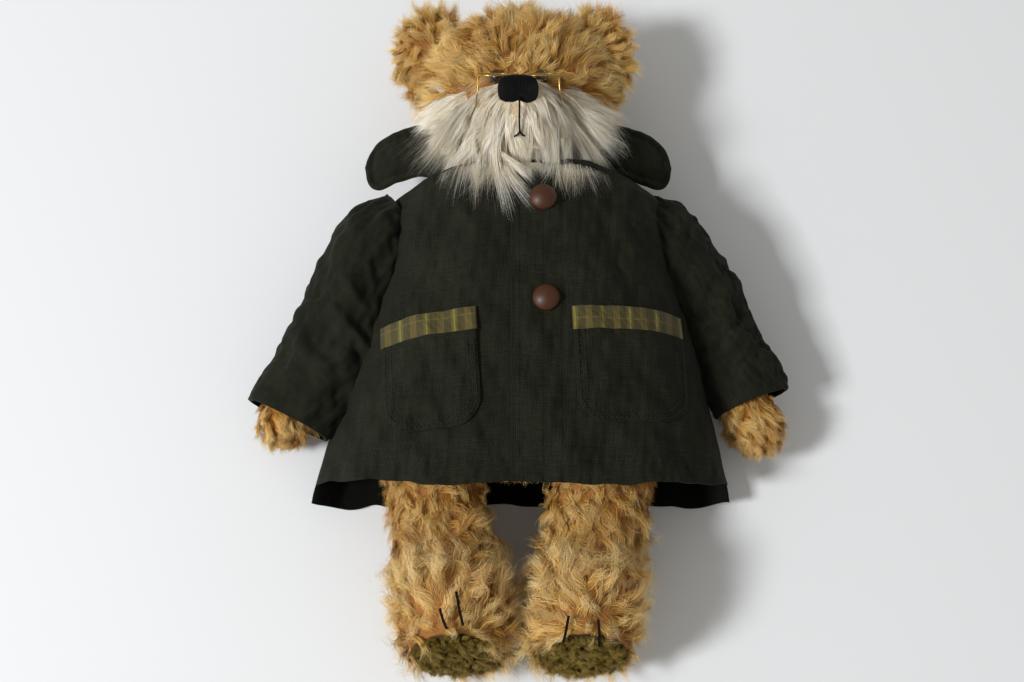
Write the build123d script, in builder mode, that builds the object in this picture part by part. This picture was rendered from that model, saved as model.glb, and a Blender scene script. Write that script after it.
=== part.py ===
"""Jointed mohair teddy bear in a buttoned coat, lying on its back.

The bear's head points along +Y, its feet along -Y, and its face and toes point up, along +Z.
The coat's back rests on z = 0. All sizes are millimetres. Left and right are the bear's own:
its left side is at +X. Each mohair cover is a closed shell filled with stuffing, and five disc
joints (fibreboard discs, washers, a bolt and a lock nut) hold the head, arms and legs.
"""

import math
import os

from build123d import *

os.makedirs("parts", exist_ok=True)

# ---------------------------------------------------------------- driving dimensions
COVER = 4.0  # mohair cover: backing cloth with the dense root of its pile
SEAT = 2.5  # cover thickness where a joint clamps it
SLIP = 0.3  # clearance between separate pieces
SPINE_HEIGHT = 48.0  # height of the body's centre line above the table

TORSO_WIDTH, TORSO_DEPTH = 58.0, 38.0  # half sizes at the belly
TORSO_REAR, TORSO_FRONT = 82.0, 135.0  # from the belly to the rump, and to the egg's far tip
NECK_Y = 117.5  # plane of the neck joint

SKULL_CENTRE, SKULL_RADII = (0, 158, 49), (57, 53, 43)
MUZZLE_CENTRE, MUZZLE_RADII = (0, 130, 76), (28, 26, 35)
EAR_CENTRE, EAR_RADIUS, EAR_THICKNESS = (54, 190, 51), 25.0, 10.0
CHIN_CLEARANCE = 88.0  # height above which the chin may reach past the neck plane

SHOULDER = (38.0, 68.0, 48.0)  # centre of the shoulder joint's gap
HIP = (26.0, -50.0, 46.0)  # centre of the hip joint's gap
HIP_POCKET = 45.0  # radius of the flat that the thigh turns on
SHOULDER_POCKET = 30.0
ARM_ROUND, LEG_ROUND = 24.0, 29.0  # radii of the round ends that turn against the torso
BACK_SWING = 10.0  # how far the arms swing back, in degrees
SOLE_CENTRE, SOLE_TILT = (36.0, -184.0, 46.0), 15.0  # tilt of the toes back towards the head
SOLE_WIDTH, SOLE_LENGTH = 26.0, 35.0  # half sizes of the foot pad

NECK_DISC, ARM_DISC, LEG_DISC = 12.5, 15.0, 15.0  # fibreboard disc radii
DISC_THICKNESS, WASHER_RADIUS, WASHER_THICKNESS = 3.0, 8.0, 1.0
BOLT_RADIUS, BOLT_HOLE, BOLT_HEAD, BOLT_HEAD_HEIGHT = 2.5, 2.56, 4.4, 3.5
NUT_HEIGHT, HARDWARE_GAP = 4.5, 0.1

COAT_CLOTH = 3.0
BUTTON_RADIUS, BUTTON_CENTRES = 7.8, ((14, 74), (15, 12))
PLACKET_EDGE, UNDERLAP = -4.0, 22.0  # edge of the upper front, and how far the lower one reaches

BOTH_SIDES = (("left", 1), ("right", -1))


def save(shape, name):
    """Writes one finished piece as its own STEP file."""
    shape.label = name
    export_step(shape, f"parts/{name}.step")


def mirrored(shape, side):
    """The left-side piece for side 1, its mirror image for side -1."""
    return shape if side == 1 else shape.mirror(Plane.YZ)


def ellipsoid(centre, radii, inset=0.0):
    """A rounded egg form, lofted along Y, with its three radii reduced by inset."""
    with BuildPart() as egg:
        for share in (-0.985, -0.92, -0.75, -0.4, 0, 0.4, 0.75, 0.92, 0.985):
            fullness = math.sqrt(1 - share**2)
            with BuildSketch(Plane.XZ.offset(-centre[1] - share * (radii[1] - inset))):
                with Locations((centre[0], centre[2])):
                    Ellipse((radii[0] - inset) * fullness, (radii[2] - inset) * fullness)
        loft()
    return egg.part


def ball(centre, radius):
    """A true sphere."""
    with BuildPart() as sphere:
        with Locations(Vector(*centre)):
            Sphere(radius)
    return sphere.part


def round_end(base, radius, outer, inset, seat):
    """Flat-faced round end of a limb, from its joint at base out to x = outer."""
    plane = Plane(origin=base, x_dir=(0, 1, 0), z_dir=(1, 0, 0))
    with BuildPart() as puck:
        with BuildSketch(plane.offset(0.5 + seat)):
            Circle(radius - inset)
        extrude(amount=outer - inset - base[0] - 0.5 - seat)
        fillet(puck.edges().sort_by(Axis.X)[-1], 8)
    return puck.part


def lofted(sections, inset=0.0):
    """A soft limb through ellipses given as (centre, direction, half width, half depth)."""
    with BuildPart() as limb:
        for centre, direction, width, depth in sections:
            across = Vector(0, 0, 1).cross(Vector(*direction))
            with BuildSketch(Plane(origin=centre, x_dir=across, z_dir=direction)):
                Ellipse(width - inset, depth - inset)
        loft()
    return limb.part


def block(low, high):
    """A box between two corners, for cutting."""
    size = [h - l for l, h in zip(low, high)]
    centre = [(h + l) / 2 for l, h in zip(low, high)]
    with BuildPart() as cutter:
        with Locations(Vector(*centre)):
            Box(*size)
    return cutter.part


def rod(plane, radius, start, end):
    """A round bar along a plane's normal, between two heights above that plane."""
    with BuildPart() as bar:
        with BuildSketch(plane.offset(start)):
            Circle(radius)
        extrude(amount=end - start)
    return bar.part


# ---------------------------------------------------------------- disc joint hardware
# Each joint's plane lies in the gap between two covers, with its normal pointing into the limb.
NECK_PLANE = Plane(origin=(0, NECK_Y, SPINE_HEIGHT), x_dir=(1, 0, 0), z_dir=(0, 1, 0))
SHOULDER_PLANE = Plane(origin=SHOULDER, x_dir=(0, 1, 0), z_dir=(1, 0, 0))
HIP_PLANE = Plane(origin=HIP, x_dir=(0, 1, 0), z_dir=(1, 0, 0))

DISC_FACE = SEAT + 0.5 + HARDWARE_GAP
WASHER_FACE = DISC_FACE + DISC_THICKNESS + HARDWARE_GAP
HEAD_FACE = WASHER_FACE + WASHER_THICKNESS + HARDWARE_GAP
STACK_END = HEAD_FACE + NUT_HEIGHT + 2.0


def joint_disc(plane, radius, side):
    """One fibreboard disc, on the limb side (1) or the torso side (-1) of its joint."""
    with BuildPart() as disc:
        with BuildSketch(plane.offset(side * DISC_FACE)):
            Circle(radius)
            Circle(BOLT_HOLE, mode=Mode.SUBTRACT)
        extrude(amount=side * DISC_THICKNESS)
        chamfer(disc.edges().filter_by(GeomType.CIRCLE).sort_by(SortBy.RADIUS)[-2:], 0.6)
    return disc.part


def joint_washer(plane, side):
    """One steel washer beside its disc."""
    with BuildPart() as washer:
        with BuildSketch(plane.offset(side * WASHER_FACE)):
            Circle(WASHER_RADIUS)
            Circle(BOLT_HOLE, mode=Mode.SUBTRACT)
        extrude(amount=side * WASHER_THICKNESS)
    return washer.part


def joint_bolt(plane):
    """Hexagon-head bolt with its head inside the limb and its thread end inside the torso."""
    with BuildPart() as bolt:
        with BuildSketch(plane.offset(HEAD_FACE)):
            RegularPolygon(BOLT_HEAD, 6)
        extrude(amount=BOLT_HEAD_HEIGHT)
        with BuildSketch(plane.offset(HEAD_FACE)):
            Circle(BOLT_RADIUS)
        extrude(amount=-(HEAD_FACE + HEAD_FACE + NUT_HEIGHT + 1.5))
    return bolt.part


def lock_nut(plane):
    """Hexagon nut with a round nylon collar."""
    with BuildPart() as nut:
        with BuildSketch(plane.offset(-HEAD_FACE)):
            RegularPolygon(BOLT_HEAD, 6)
            Circle(BOLT_HOLE, mode=Mode.SUBTRACT)
        extrude(amount=-NUT_HEIGHT * 0.7)
        with BuildSketch(plane.offset(-HEAD_FACE - NUT_HEIGHT * 0.7)):
            Circle(BOLT_HEAD * 0.8)
            Circle(BOLT_HOLE, mode=Mode.SUBTRACT)
        extrude(amount=-NUT_HEIGHT * 0.3)
    return nut.part


def hardware_room(plane, radius, side):
    """Space that one side of a joint's hardware takes out of the stuffing."""
    reach = (DISC_FACE - SLIP, STACK_END)
    return rod(plane, radius + SLIP, *(side * r for r in reach))


def bolt_hole(plane):
    """Clearance for the bolt through both covers."""
    return rod(plane, BOLT_HOLE, -STACK_END, STACK_END)


# ---------------------------------------------------------------- torso
def torso_form(inset):
    """Egg-shaped body, widest at the belly, cut flat at the neck."""
    with BuildPart() as form:
        for share in (-0.985, -0.9, -0.7, -0.4, 0, 0.3, 0.55, 0.75, NECK_Y / (TORSO_FRONT - inset)):
            reach = TORSO_REAR if share < 0 else TORSO_FRONT
            fullness = math.sqrt(1 - share**2)
            y = share * (reach - inset)
            with BuildSketch(Plane.XZ.offset(-y)):
                with Locations((0, SPINE_HEIGHT)):
                    Ellipse(TORSO_WIDTH * fullness - inset, TORSO_DEPTH * fullness - inset)
        loft()
    return form.part


def torso_shape(inset, seat):
    """The torso with flats at the hips and shoulders, where the limbs turn."""
    shape = torso_form(inset)
    shape -= block((-60, NECK_Y - 0.5 - seat, 0), (60, NECK_Y + 30, 100))
    for side in (1, -1):
        for centre, radius in ((HIP, HIP_POCKET), (SHOULDER, SHOULDER_POCKET)):
            plane = Plane(
                origin=(side * centre[0], centre[1], centre[2]), x_dir=(0, 1, 0), z_dir=(side, 0, 0)
            )
            shape -= rod(plane, radius + inset, -0.5 - seat, 60)
    return shape


LIMB_PLANES = []
for sign in (1, -1):
    for base, disc_radius in ((SHOULDER, ARM_DISC), (HIP, LEG_DISC)):
        place = (sign * base[0], base[1], base[2])
        LIMB_PLANES.append((Plane(origin=place, x_dir=(0, 1, 0), z_dir=(sign, 0, 0)), disc_radius))
ALL_JOINTS = [(NECK_PLANE, NECK_DISC), *LIMB_PLANES]

torso_inside = torso_shape(COVER, SEAT)
torso_cover = torso_shape(0, 0) - torso_inside
torso_stuffing = torso_shape(COVER + SLIP, SEAT + SLIP)
for joint_plane, disc_radius in ALL_JOINTS:
    torso_cover -= bolt_hole(joint_plane)
    torso_stuffing -= hardware_room(joint_plane, disc_radius, -1)
save(torso_cover, "torso_cover")
save(torso_stuffing, "torso_stuffing")
save(Compound([joint_disc(p, r, -1) for p, r in ALL_JOINTS]), "torso_joint_discs")
save(Compound([joint_washer(p, -1) for p, _ in ALL_JOINTS]), "torso_joint_washers")
save(Compound([lock_nut(p) for p, _ in ALL_JOINTS]), "lock_nuts")

# ---------------------------------------------------------------- head
EYE_CENTRE, EYE_RADIUS = (13.5, 155.0, 88.5), 4.5
NOSE_CENTRE = (0, 136, 107.5)

neck_cut = block((-60, 90, -10), (60, NECK_Y + 0.5, 110))
skull = ellipsoid(SKULL_CENTRE, SKULL_RADII) - neck_cut
skull_inside = ellipsoid(SKULL_CENTRE, SKULL_RADII, COVER)
skull_inside -= block((-60, 90, -10), (60, NECK_Y + 0.5 + SEAT, 110))
skull_fill = ellipsoid(SKULL_CENTRE, SKULL_RADII, COVER + SLIP)
skull_fill -= block((-60, 90, -10), (60, NECK_Y + 0.5 + SEAT + SLIP, 110))
skull_fill -= hardware_room(NECK_PLANE, NECK_DISC, 1)
eye_room = ball(EYE_CENTRE, EYE_RADIUS + 0.2)
eye_rooms = [eye_room, eye_room.mirror(Plane.YZ)]

head_cover = skull - skull_inside - bolt_hole(NECK_PLANE) - eye_rooms[0] - eye_rooms[1]
skull_fill = skull_fill - eye_rooms[0] - eye_rooms[1]

around_skull = ellipsoid(SKULL_CENTRE, SKULL_RADII, -SLIP)
chin_cut = block((-60, 60, -10), (60, NECK_Y + 1.5, CHIN_CLEARANCE))
muzzle = ellipsoid(MUZZLE_CENTRE, MUZZLE_RADII) - chin_cut - around_skull
muzzle_inside = ellipsoid(MUZZLE_CENTRE, MUZZLE_RADII, COVER)
muzzle_inside -= block((-60, 60, -10), (60, NECK_Y + 1.5 + COVER, CHIN_CLEARANCE + COVER))
muzzle_fill = ellipsoid(MUZZLE_CENTRE, MUZZLE_RADII, COVER + SLIP)
muzzle_fill -= block(
    (-60, 60, -10), (60, NECK_Y + 1.5 + COVER + SLIP, CHIN_CLEARANCE + COVER + SLIP)
)
muzzle_fill -= around_skull
muzzle_cover = muzzle - muzzle_inside - eye_rooms[0] - eye_rooms[1]
muzzle_fill = muzzle_fill - eye_rooms[0] - eye_rooms[1]

with BuildPart() as nose:
    with BuildSketch(Plane.XY.offset(NOSE_CENTRE[2])):
        with Locations(NOSE_CENTRE[:2]):
            RectangleRounded(23, 16, 6.5)
        with Locations((NOSE_CENTRE[0], NOSE_CENTRE[1] - 9)):
            Circle(2.4, mode=Mode.SUBTRACT)
    extrude(amount=6.5)
    fillet(nose.faces().sort_by(Axis.Z)[-1].edges(), 2.2)
nose_body = nose.part - ellipsoid(MUZZLE_CENTRE, MUZZLE_RADII, -0.05)

MOUTH_THREAD = 0.7


def muzzle_height(y, lift):
    """Height of the muzzle's centre line at y, plus lift."""
    share = (y - MUZZLE_CENTRE[1]) / MUZZLE_RADII[1]
    return MUZZLE_CENTRE[2] + MUZZLE_RADII[2] * math.sqrt(1 - share**2) + lift


with BuildPart() as mouth:
    for start, end in (((0, 127.5), (0, 113.5)), ((0, 113.5), (-2.8, 111)), ((0, 113.5), (2.8, 111))):
        with BuildLine() as stitch:
            Line(
                (*start, muzzle_height(start[1], 1.0)),
                (*end, muzzle_height(end[1], 1.0)),
            )
        with BuildSketch(Plane(origin=stitch.line @ 0, z_dir=stitch.line % 0)):
            Circle(MOUTH_THREAD)
        sweep(path=stitch.line)
mouth_thread = mouth.part - ellipsoid(MUZZLE_CENTRE, MUZZLE_RADII, -0.05)

with BuildPart() as ear_disc:
    with BuildSketch(Plane.XY.offset(EAR_CENTRE[2] - EAR_THICKNESS / 2)):
        with Locations(EAR_CENTRE[:2]):
            Circle(EAR_RADIUS)
    extrude(amount=EAR_THICKNESS)
    fillet(ear_disc.edges().filter_by(GeomType.CIRCLE), EAR_THICKNESS * 0.42)
ear = ear_disc.part - around_skull

eye = ball(EYE_CENTRE, EYE_RADIUS)

save(head_cover, "head_cover")
save(muzzle_cover, "muzzle_cover")
save(Compound([*skull_fill.solids(), *muzzle_fill.solids()]), "head_stuffing")
save(nose_body, "nose")
save(mouth_thread, "mouth_stitch")
save(joint_disc(NECK_PLANE, NECK_DISC, 1), "head_joint_disc")
save(joint_washer(NECK_PLANE, 1), "head_joint_washer")
save(joint_bolt(NECK_PLANE), "head_joint_bolt")
for name, side in BOTH_SIDES:
    save(mirrored(ear, side), f"{name}_ear")
    save(mirrored(eye, side), f"{name}_eye")

# ---------------------------------------------------------------- spectacles
LENS_CENTRE, LENS_RADII, LENS_PITCH = (13.8, 150.5, 102.0), (10.2, 8.0), 72.0
WIRE, TEMPLE_LENGTH = 0.6, 19.0

LENS_NORMAL = (0, math.sin(math.radians(LENS_PITCH)), math.cos(math.radians(LENS_PITCH)))


def lens_plane(side):
    """The plane of one lens, leaning forward on the muzzle."""
    centre = (side * LENS_CENTRE[0], LENS_CENTRE[1], LENS_CENTRE[2])
    return Plane(origin=centre, x_dir=(1, 0, 0), z_dir=LENS_NORMAL)


with BuildPart() as frame_wire:
    for side in (1, -1):
        plane = lens_plane(side)
        with BuildSketch(plane):
            Ellipse(*LENS_RADII)
            Ellipse(LENS_RADII[0] - 2 * WIRE, LENS_RADII[1] - 2 * WIRE, mode=Mode.SUBTRACT)
        extrude(amount=WIRE, both=True)
        hinge = plane.from_local_coords((side * (LENS_RADII[0] - WIRE / 2), 0, 0))
        tip = hinge - Vector(*LENS_NORMAL) * TEMPLE_LENGTH
        with BuildLine() as temple:
            Line(hinge, tip)
        with BuildSketch(Plane(origin=hinge, z_dir=temple.line % 0)):
            Circle(WIRE * 0.9)
        sweep(path=temple.line)
    with BuildLine(Plane(origin=(0, *LENS_CENTRE[1:]), x_dir=(1, 0, 0), z_dir=LENS_NORMAL)) as bridge:
        inner = LENS_CENTRE[0] - LENS_RADII[0] + WIRE / 2
        ThreePointArc((-inner, 0), (0, -2.5), (inner, 0))
    with BuildSketch(Plane(origin=bridge.line @ 0, z_dir=bridge.line % 0)):
        Circle(WIRE)
    sweep(path=bridge.line)
save(frame_wire.part, "spectacle_frame")

with BuildPart() as lenses:
    for side in (1, -1):
        with BuildSketch(lens_plane(side)):
            Ellipse(LENS_RADII[0] - 2 * WIRE - 0.05, LENS_RADII[1] - 2 * WIRE - 0.05)
        extrude(amount=0.4, both=True)
save(Compound(lenses.part.solids()), "spectacle_lenses")

# ---------------------------------------------------------------- arms and sleeves
# x, y, z, lean outwards from -Y in degrees, half width, half depth
ARM_SECTIONS = (
    (62, 84, 48, 38, 8, 8),
    (65, 80, 48, 38, 16, 15),
    (74, 68, 48, 38, 22, 20),
    (104, 32, 44, 36, 22, 20),
    (130, -6, 38, 26, 20.5, 19),
    (142, -40, 32, 17, 19.5, 18),
    (147, -56, 29, 14, 16, 15.5),
    (149.5, -66, 27.5, 12, 6, 6),
)
SLEEVE_SECTIONS = (
    (60, 86, 47, 39, 36, 31),
    (72, 70, 47, 38, 34, 31),
    (104, 32, 44, 36, 30, 26),
    (129, -3, 38, 26, 28.5, 24),
    (141, -38, 32, 17, 25.5, 23),
)
ARM_OUTER = 84.0
SLEEVE_TOP = 101.0  # the sleeve heads stop below the collar


def direction(lean):
    """Unit vector in the XY plane, leaning outwards from -Y."""
    return (math.sin(math.radians(lean)), -math.cos(math.radians(lean)), 0)


def limb_rows(rows, inset):
    """Section rows for lofted(), with both ends pulled in by inset along the limb."""
    result = []
    for index, (x, y, z, lean, width, depth) in enumerate(rows):
        along = direction(lean)
        shift = inset if index == 0 else -inset if index == len(rows) - 1 else 0
        centre = (x + shift * along[0], y + shift * along[1], z)
        result.append((centre, along, width, depth))
    return result


def arm_form(inset, seat):
    """Tapered arm with a flat round end where it meets the shoulder."""
    arm = lofted(limb_rows(ARM_SECTIONS, inset), inset)
    return arm + round_end(SHOULDER, ARM_ROUND, ARM_OUTER, inset, seat)


PAW_PAD_RADII, PAW_CENTRE, PAW_LEAN = (12.0, 15.0), (143, -44, 31), 16.0
PAW_PAD_DEPTH = 11.0  # from the paw's centre line down to the flat that carries the pad
paw_plane = Plane(
    origin=PAW_CENTRE,
    x_dir=Vector(0, 0, 1).cross(Vector(*direction(PAW_LEAN))),
    z_dir=(0, 0, -1),
)
with BuildPart() as paw_cutter:
    with BuildSketch(paw_plane.offset(PAW_PAD_DEPTH)):
        Ellipse(*PAW_PAD_RADII)
    extrude(amount=30)
with BuildPart() as paw_pad:
    with BuildSketch(paw_plane.offset(PAW_PAD_DEPTH + SLIP)):
        Ellipse(PAW_PAD_RADII[0] - SLIP, PAW_PAD_RADII[1] - SLIP)
    extrude(amount=2.2)
    fillet(paw_pad.faces().sort_by(Axis.Z)[0].edges(), 0.8)

arm_cover = arm_form(0, 0) - arm_form(COVER, SEAT)
arm_cover = arm_cover - bolt_hole(SHOULDER_PLANE) - paw_cutter.part
arm_fill = arm_form(COVER + SLIP, SEAT + SLIP) - hardware_room(SHOULDER_PLANE, ARM_DISC, 1)
arm_fill -= rod(paw_plane, 30, PAW_PAD_DEPTH - SLIP, 40)


def sleeve_form(inset, overrun=0.0):
    """Tube-shaped sleeve around the arm, from inside the coat to the cuff."""
    return lofted(limb_rows(SLEEVE_SECTIONS, -overrun), inset)


# y, half width, height of the front
COAT_SECTIONS = (
    (102, 42, 92),
    (92, 84, 98),
    (60, 88, 101),
    (10, 96, 103),
    (-40, 108, 97),
    (-90, 125, 84),
)
SIDE_SEAM = 26.0  # height of the side seam, where the back panel meets the fronts


def coat_form(inset, overrun=0.0):
    """The coat's bell shape, flat underneath where it rests and domed in front."""
    with BuildPart() as form:
        for y, width, height in COAT_SECTIONS:
            ends = overrun * (1 if y > 100 else -1 if y < -80 else 0)
            half, top = width - inset, height - inset
            with BuildSketch(Plane.XZ.offset(-(y + ends))):
                with BuildLine():
                    Line((-half * 0.86, inset), (half * 0.86, inset))
                    ThreePointArc((half * 0.86, inset), (half, top * 0.3), (half * 0.86, top * 0.58))
                    Spline(
                        (half * 0.86, top * 0.58),
                        (0, top),
                        (-half * 0.86, top * 0.58),
                        tangents=[(-0.55, 0.83), (-0.55, -0.83)],
                    )
                    ThreePointArc((-half * 0.86, top * 0.58), (-half, top * 0.3), (-half * 0.86, inset))
                make_face()
        loft(ruled=True)
    return form.part


sleeve = sleeve_form(0) - sleeve_form(COAT_CLOTH, 6) - coat_form(-0.4)
sleeve -= block((-200, SLEEVE_TOP, -20), (200, 200, 150))
for name, side in BOTH_SIDES:
    plane = LIMB_PLANES[0 if side == 1 else 2][0]
    save(mirrored(arm_cover, side), f"{name}_arm_cover")
    save(mirrored(arm_fill, side), f"{name}_arm_stuffing")
    save(mirrored(paw_pad.part, side), f"{name}_paw_pad")
    save(mirrored(sleeve, side), f"{name}_sleeve")
    save(joint_disc(plane, ARM_DISC, 1), f"{name}_arm_disc")
    save(joint_washer(plane, 1), f"{name}_arm_washer")
    save(joint_bolt(plane), f"{name}_arm_bolt")

# ---------------------------------------------------------------- legs
# x, y, z, tilt of the section towards the sole's slope in degrees, half width, half depth
LEG_SECTIONS = (
    (52, -20, 46, 0, 12, 12),
    (52, -25, 46, 0, 22, 21),
    (52, -50, 46, 0, 28, 29),
    (50, -86, 45, 0, 29, 31),
    (45, -110, 41, 2, 28, 28),
    (41, -137, 43, 6, 28.5, 33),
    (38, -160, 46, 12, 29.5, 37.5),
    (36.5, -177, 46.5, 15, 28.5, 37),
    (*SOLE_CENTRE, SOLE_TILT, SOLE_WIDTH, SOLE_LENGTH),
)
LEG_OUTER, LEG_FLAT = 72.0, 46.0
PAD_THICKNESS, CARD_THICKNESS = 2.2, 1.5


def tilted(angle):
    """Unit vector along -Y, tipped up by the angle."""
    return (0, -math.cos(math.radians(angle)), math.sin(math.radians(angle)))


SOLE_PLANE = Plane(origin=SOLE_CENTRE, x_dir=(1, 0, 0), z_dir=tilted(SOLE_TILT))


def leg_form(inset, seat, sole):
    """Thigh, ankle and foot in one, flat at the hip and at the sole."""
    rows = []
    for index, (x, y, z, tilt, width, depth) in enumerate(LEG_SECTIONS):
        rows.append(((x, y - (inset if index == 0 else 0), z), tilted(tilt), width, depth))
    form = lofted(rows, inset) + round_end(HIP, LEG_ROUND, LEG_OUTER, inset, seat)
    form -= rod(HIP_PLANE, LEG_FLAT, -30, 0.5 + seat)
    return form - rod(SOLE_PLANE, 80, -sole, 60)


leg_cover = leg_form(0, 0, 0) - leg_form(COVER, SEAT, SEAT) - bolt_hole(HIP_PLANE)
leg_fill = leg_form(COVER + SLIP, SEAT + SLIP, SEAT + CARD_THICKNESS + 2 * SLIP)
leg_fill -= hardware_room(HIP_PLANE, LEG_DISC, 1)

with BuildPart() as foot_pad:
    with BuildSketch(SOLE_PLANE.offset(0.05)):
        Ellipse(SOLE_WIDTH, SOLE_LENGTH)
    extrude(amount=PAD_THICKNESS)
    fillet(foot_pad.edges().sort_by(Axis.Y)[0], 0.8)

with BuildPart() as sole_card:
    with BuildSketch(SOLE_PLANE.offset(-SEAT - SLIP)):
        Ellipse(SOLE_WIDTH * 0.72, SOLE_LENGTH * 0.72)
    extrude(amount=-CARD_THICKNESS)

CLAW_WIDTH, CLAW_OFFSETS = 1.6, (-6, 10)
claw_layer = leg_form(-1.4, 0, 0) - leg_form(-0.05, 0, 0)
claw_solids = []
for offset in CLAW_OFFSETS:
    low = (SOLE_CENTRE[0] + offset - CLAW_WIDTH / 2, -172, 60)
    high = (SOLE_CENTRE[0] + offset + CLAW_WIDTH / 2, -152, 100)
    claw_solids.extend((claw_layer & block(low, high)).solids())

for name, side in BOTH_SIDES:
    plane = LIMB_PLANES[1 if side == 1 else 3][0]
    save(mirrored(leg_cover, side), f"{name}_leg_cover")
    save(mirrored(leg_fill, side), f"{name}_leg_stuffing")
    save(mirrored(foot_pad.part, side), f"{name}_foot_pad")
    save(mirrored(sole_card.part, side), f"{name}_sole_card")
    save(mirrored(Compound(claw_solids), side), f"{name}_foot_claws")
    save(joint_disc(plane, LEG_DISC, 1), f"{name}_leg_disc")
    save(joint_washer(plane, 1), f"{name}_leg_washer")
    save(joint_bolt(plane), f"{name}_leg_bolt")

# ---------------------------------------------------------------- coat
shell = coat_form(0) - coat_form(COAT_CLOTH, 5)
shoulder_axis = Axis(SHOULDER, (1, 0, 0))
armholes = []
for side in (1, -1):
    for opening in (sleeve_form(COAT_CLOTH), arm_form(-1.5, 0)):
        armholes.append(mirrored(opening, side))
    armholes.append(mirrored(arm_form(-1.5, 0).rotate(shoulder_axis, BACK_SWING), side))
for opening in armholes:
    shell -= opening
underlay = coat_form(COAT_CLOTH + 0.4) - coat_form(2 * COAT_CLOTH, 5)
above_seam = block((-150, -120, SIDE_SEAM + 0.2), (150, 130, 130))
below_seam = block((-150, -120, -5), (150, 130, SIDE_SEAM - 0.2))
left_of_edge = block((PLACKET_EDGE, -120, 0), (150, 130, 130))
right_of_edge = block((-150, -120, 0), (PLACKET_EDGE - 0.4, 130, 130))
underlap = block((PLACKET_EDGE - 20, -120, 60), (UNDERLAP, 130, 130))

coat_back = shell & below_seam
left_front = shell & above_seam & left_of_edge
right_front = (shell & above_seam & right_of_edge) + (underlay & underlap)
joining_strip = (coat_form(COAT_CLOTH / 2) - coat_form(2 * COAT_CLOTH, 5)) & block(
    (PLACKET_EDGE - 20, -120, 60), (PLACKET_EDGE - 10, 130, 130)
)
right_front += joining_strip


def coat_height(x, y, reach):
    """Height of the coat's highest point within reach of x and y, measured on the shell."""
    column = block((x - reach, y - reach, 60), (x + reach, y + reach, 130))
    return (shell & column).bounding_box().max.Z


POCKET_WIDTH, POCKET_TOP, POCKET_BOTTOM, TRIM_WIDTH = 60.0, 10.0, -61.0, 18.0
POCKET_CENTRES = {"left": 62.0, "right": -52.0}
POCKET_CLOTH = 2.0


def pocket_outline(low, high, corner):
    """Closed prism over one pocket piece, to be cut to the coat's surface."""
    with BuildPart() as prism:
        with BuildSketch() as outline:
            with Locations((0, (low + high) / 2)):
                Rectangle(POCKET_WIDTH, high - low)
            if corner:
                fillet(outline.vertices().group_by(Axis.Y)[0], corner)
        extrude(amount=130)
    return prism.part


raised = coat_form(-POCKET_CLOTH - 0.4, 5) - coat_form(-0.4, 10)
raised = raised & block((-150, -120, 50), (150, 130, 140))
for side in (1, -1):
    raised -= mirrored(sleeve_form(-0.5), side)
for name, _ in BOTH_SIDES:
    place = Location((POCKET_CENTRES[name], 0, 0))
    patch = pocket_outline(POCKET_BOTTOM, POCKET_TOP - TRIM_WIDTH - 0.2, 16).moved(place)
    trim = pocket_outline(POCKET_TOP - TRIM_WIDTH, POCKET_TOP, 0).moved(place)
    save(raised & patch, f"{name}_pocket")
    save(raised & trim, f"{name}_pocket_trim")

buttons = []
for x, y in BUTTON_CENTRES:
    base = coat_height(x, y, BUTTON_RADIUS) + 0.1
    with BuildPart() as button:
        with BuildSketch(Plane.XY.offset(base)):
            with Locations((x, y)):
                Circle(BUTTON_RADIUS)
        extrude(amount=4.4)
        fillet(button.edges().sort_by(Axis.Z)[-1], 3.4)
        fillet(button.edges().sort_by(Axis.Z)[0], 0.6)
    buttons.append(button.part)
save(Compound(buttons), "coat_buttons")
save(coat_back, "coat_back")
save(left_front, "coat_left_front")
save(right_front, "coat_right_front")

COLLAR_REACH, COLLAR_LOW, COLLAR_HIGH = 96.0, 106.0, 137.0
with BuildPart() as collar:
    with BuildSketch(Plane.XZ.offset(-COLLAR_LOW)):
        with BuildLine():
            lower = Spline(
                (-COLLAR_REACH, 38),
                (-45, 12),
                (0, 2),
                (45, 12),
                (COLLAR_REACH, 38),
            )
            upper = Spline(
                (-COLLAR_REACH, 42),
                (-45, 16),
                (0, 6),
                (45, 16),
                (COLLAR_REACH, 42),
            )
            Line(lower @ 0, upper @ 0)
            Line(lower @ 1, upper @ 1)
        make_face()
    extrude(amount=-(COLLAR_HIGH - COLLAR_LOW))
    with BuildSketch():
        with Locations((0, (COLLAR_HIGH + COLLAR_LOW) / 2)):
            RectangleRounded(2 * COLLAR_REACH, COLLAR_HIGH - COLLAR_LOW, 13)
    extrude(amount=100, mode=Mode.INTERSECT)
save(collar.part, "coat_collar")
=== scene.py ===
"""The looks of the jointed mohair teddy bear in its buttoned coat.

The bear lies on its back: +Z up, head towards +Y, its own left side at +X. Sizes in this script
are millimetres and are turned into metres when a mesh is made. Fur is real mesh: thin tapered
ribbons gathered into curly locks. Every random number comes from a fixed seed.
"""

import math

import bpy
import numpy as np
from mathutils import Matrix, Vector, kdtree


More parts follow.
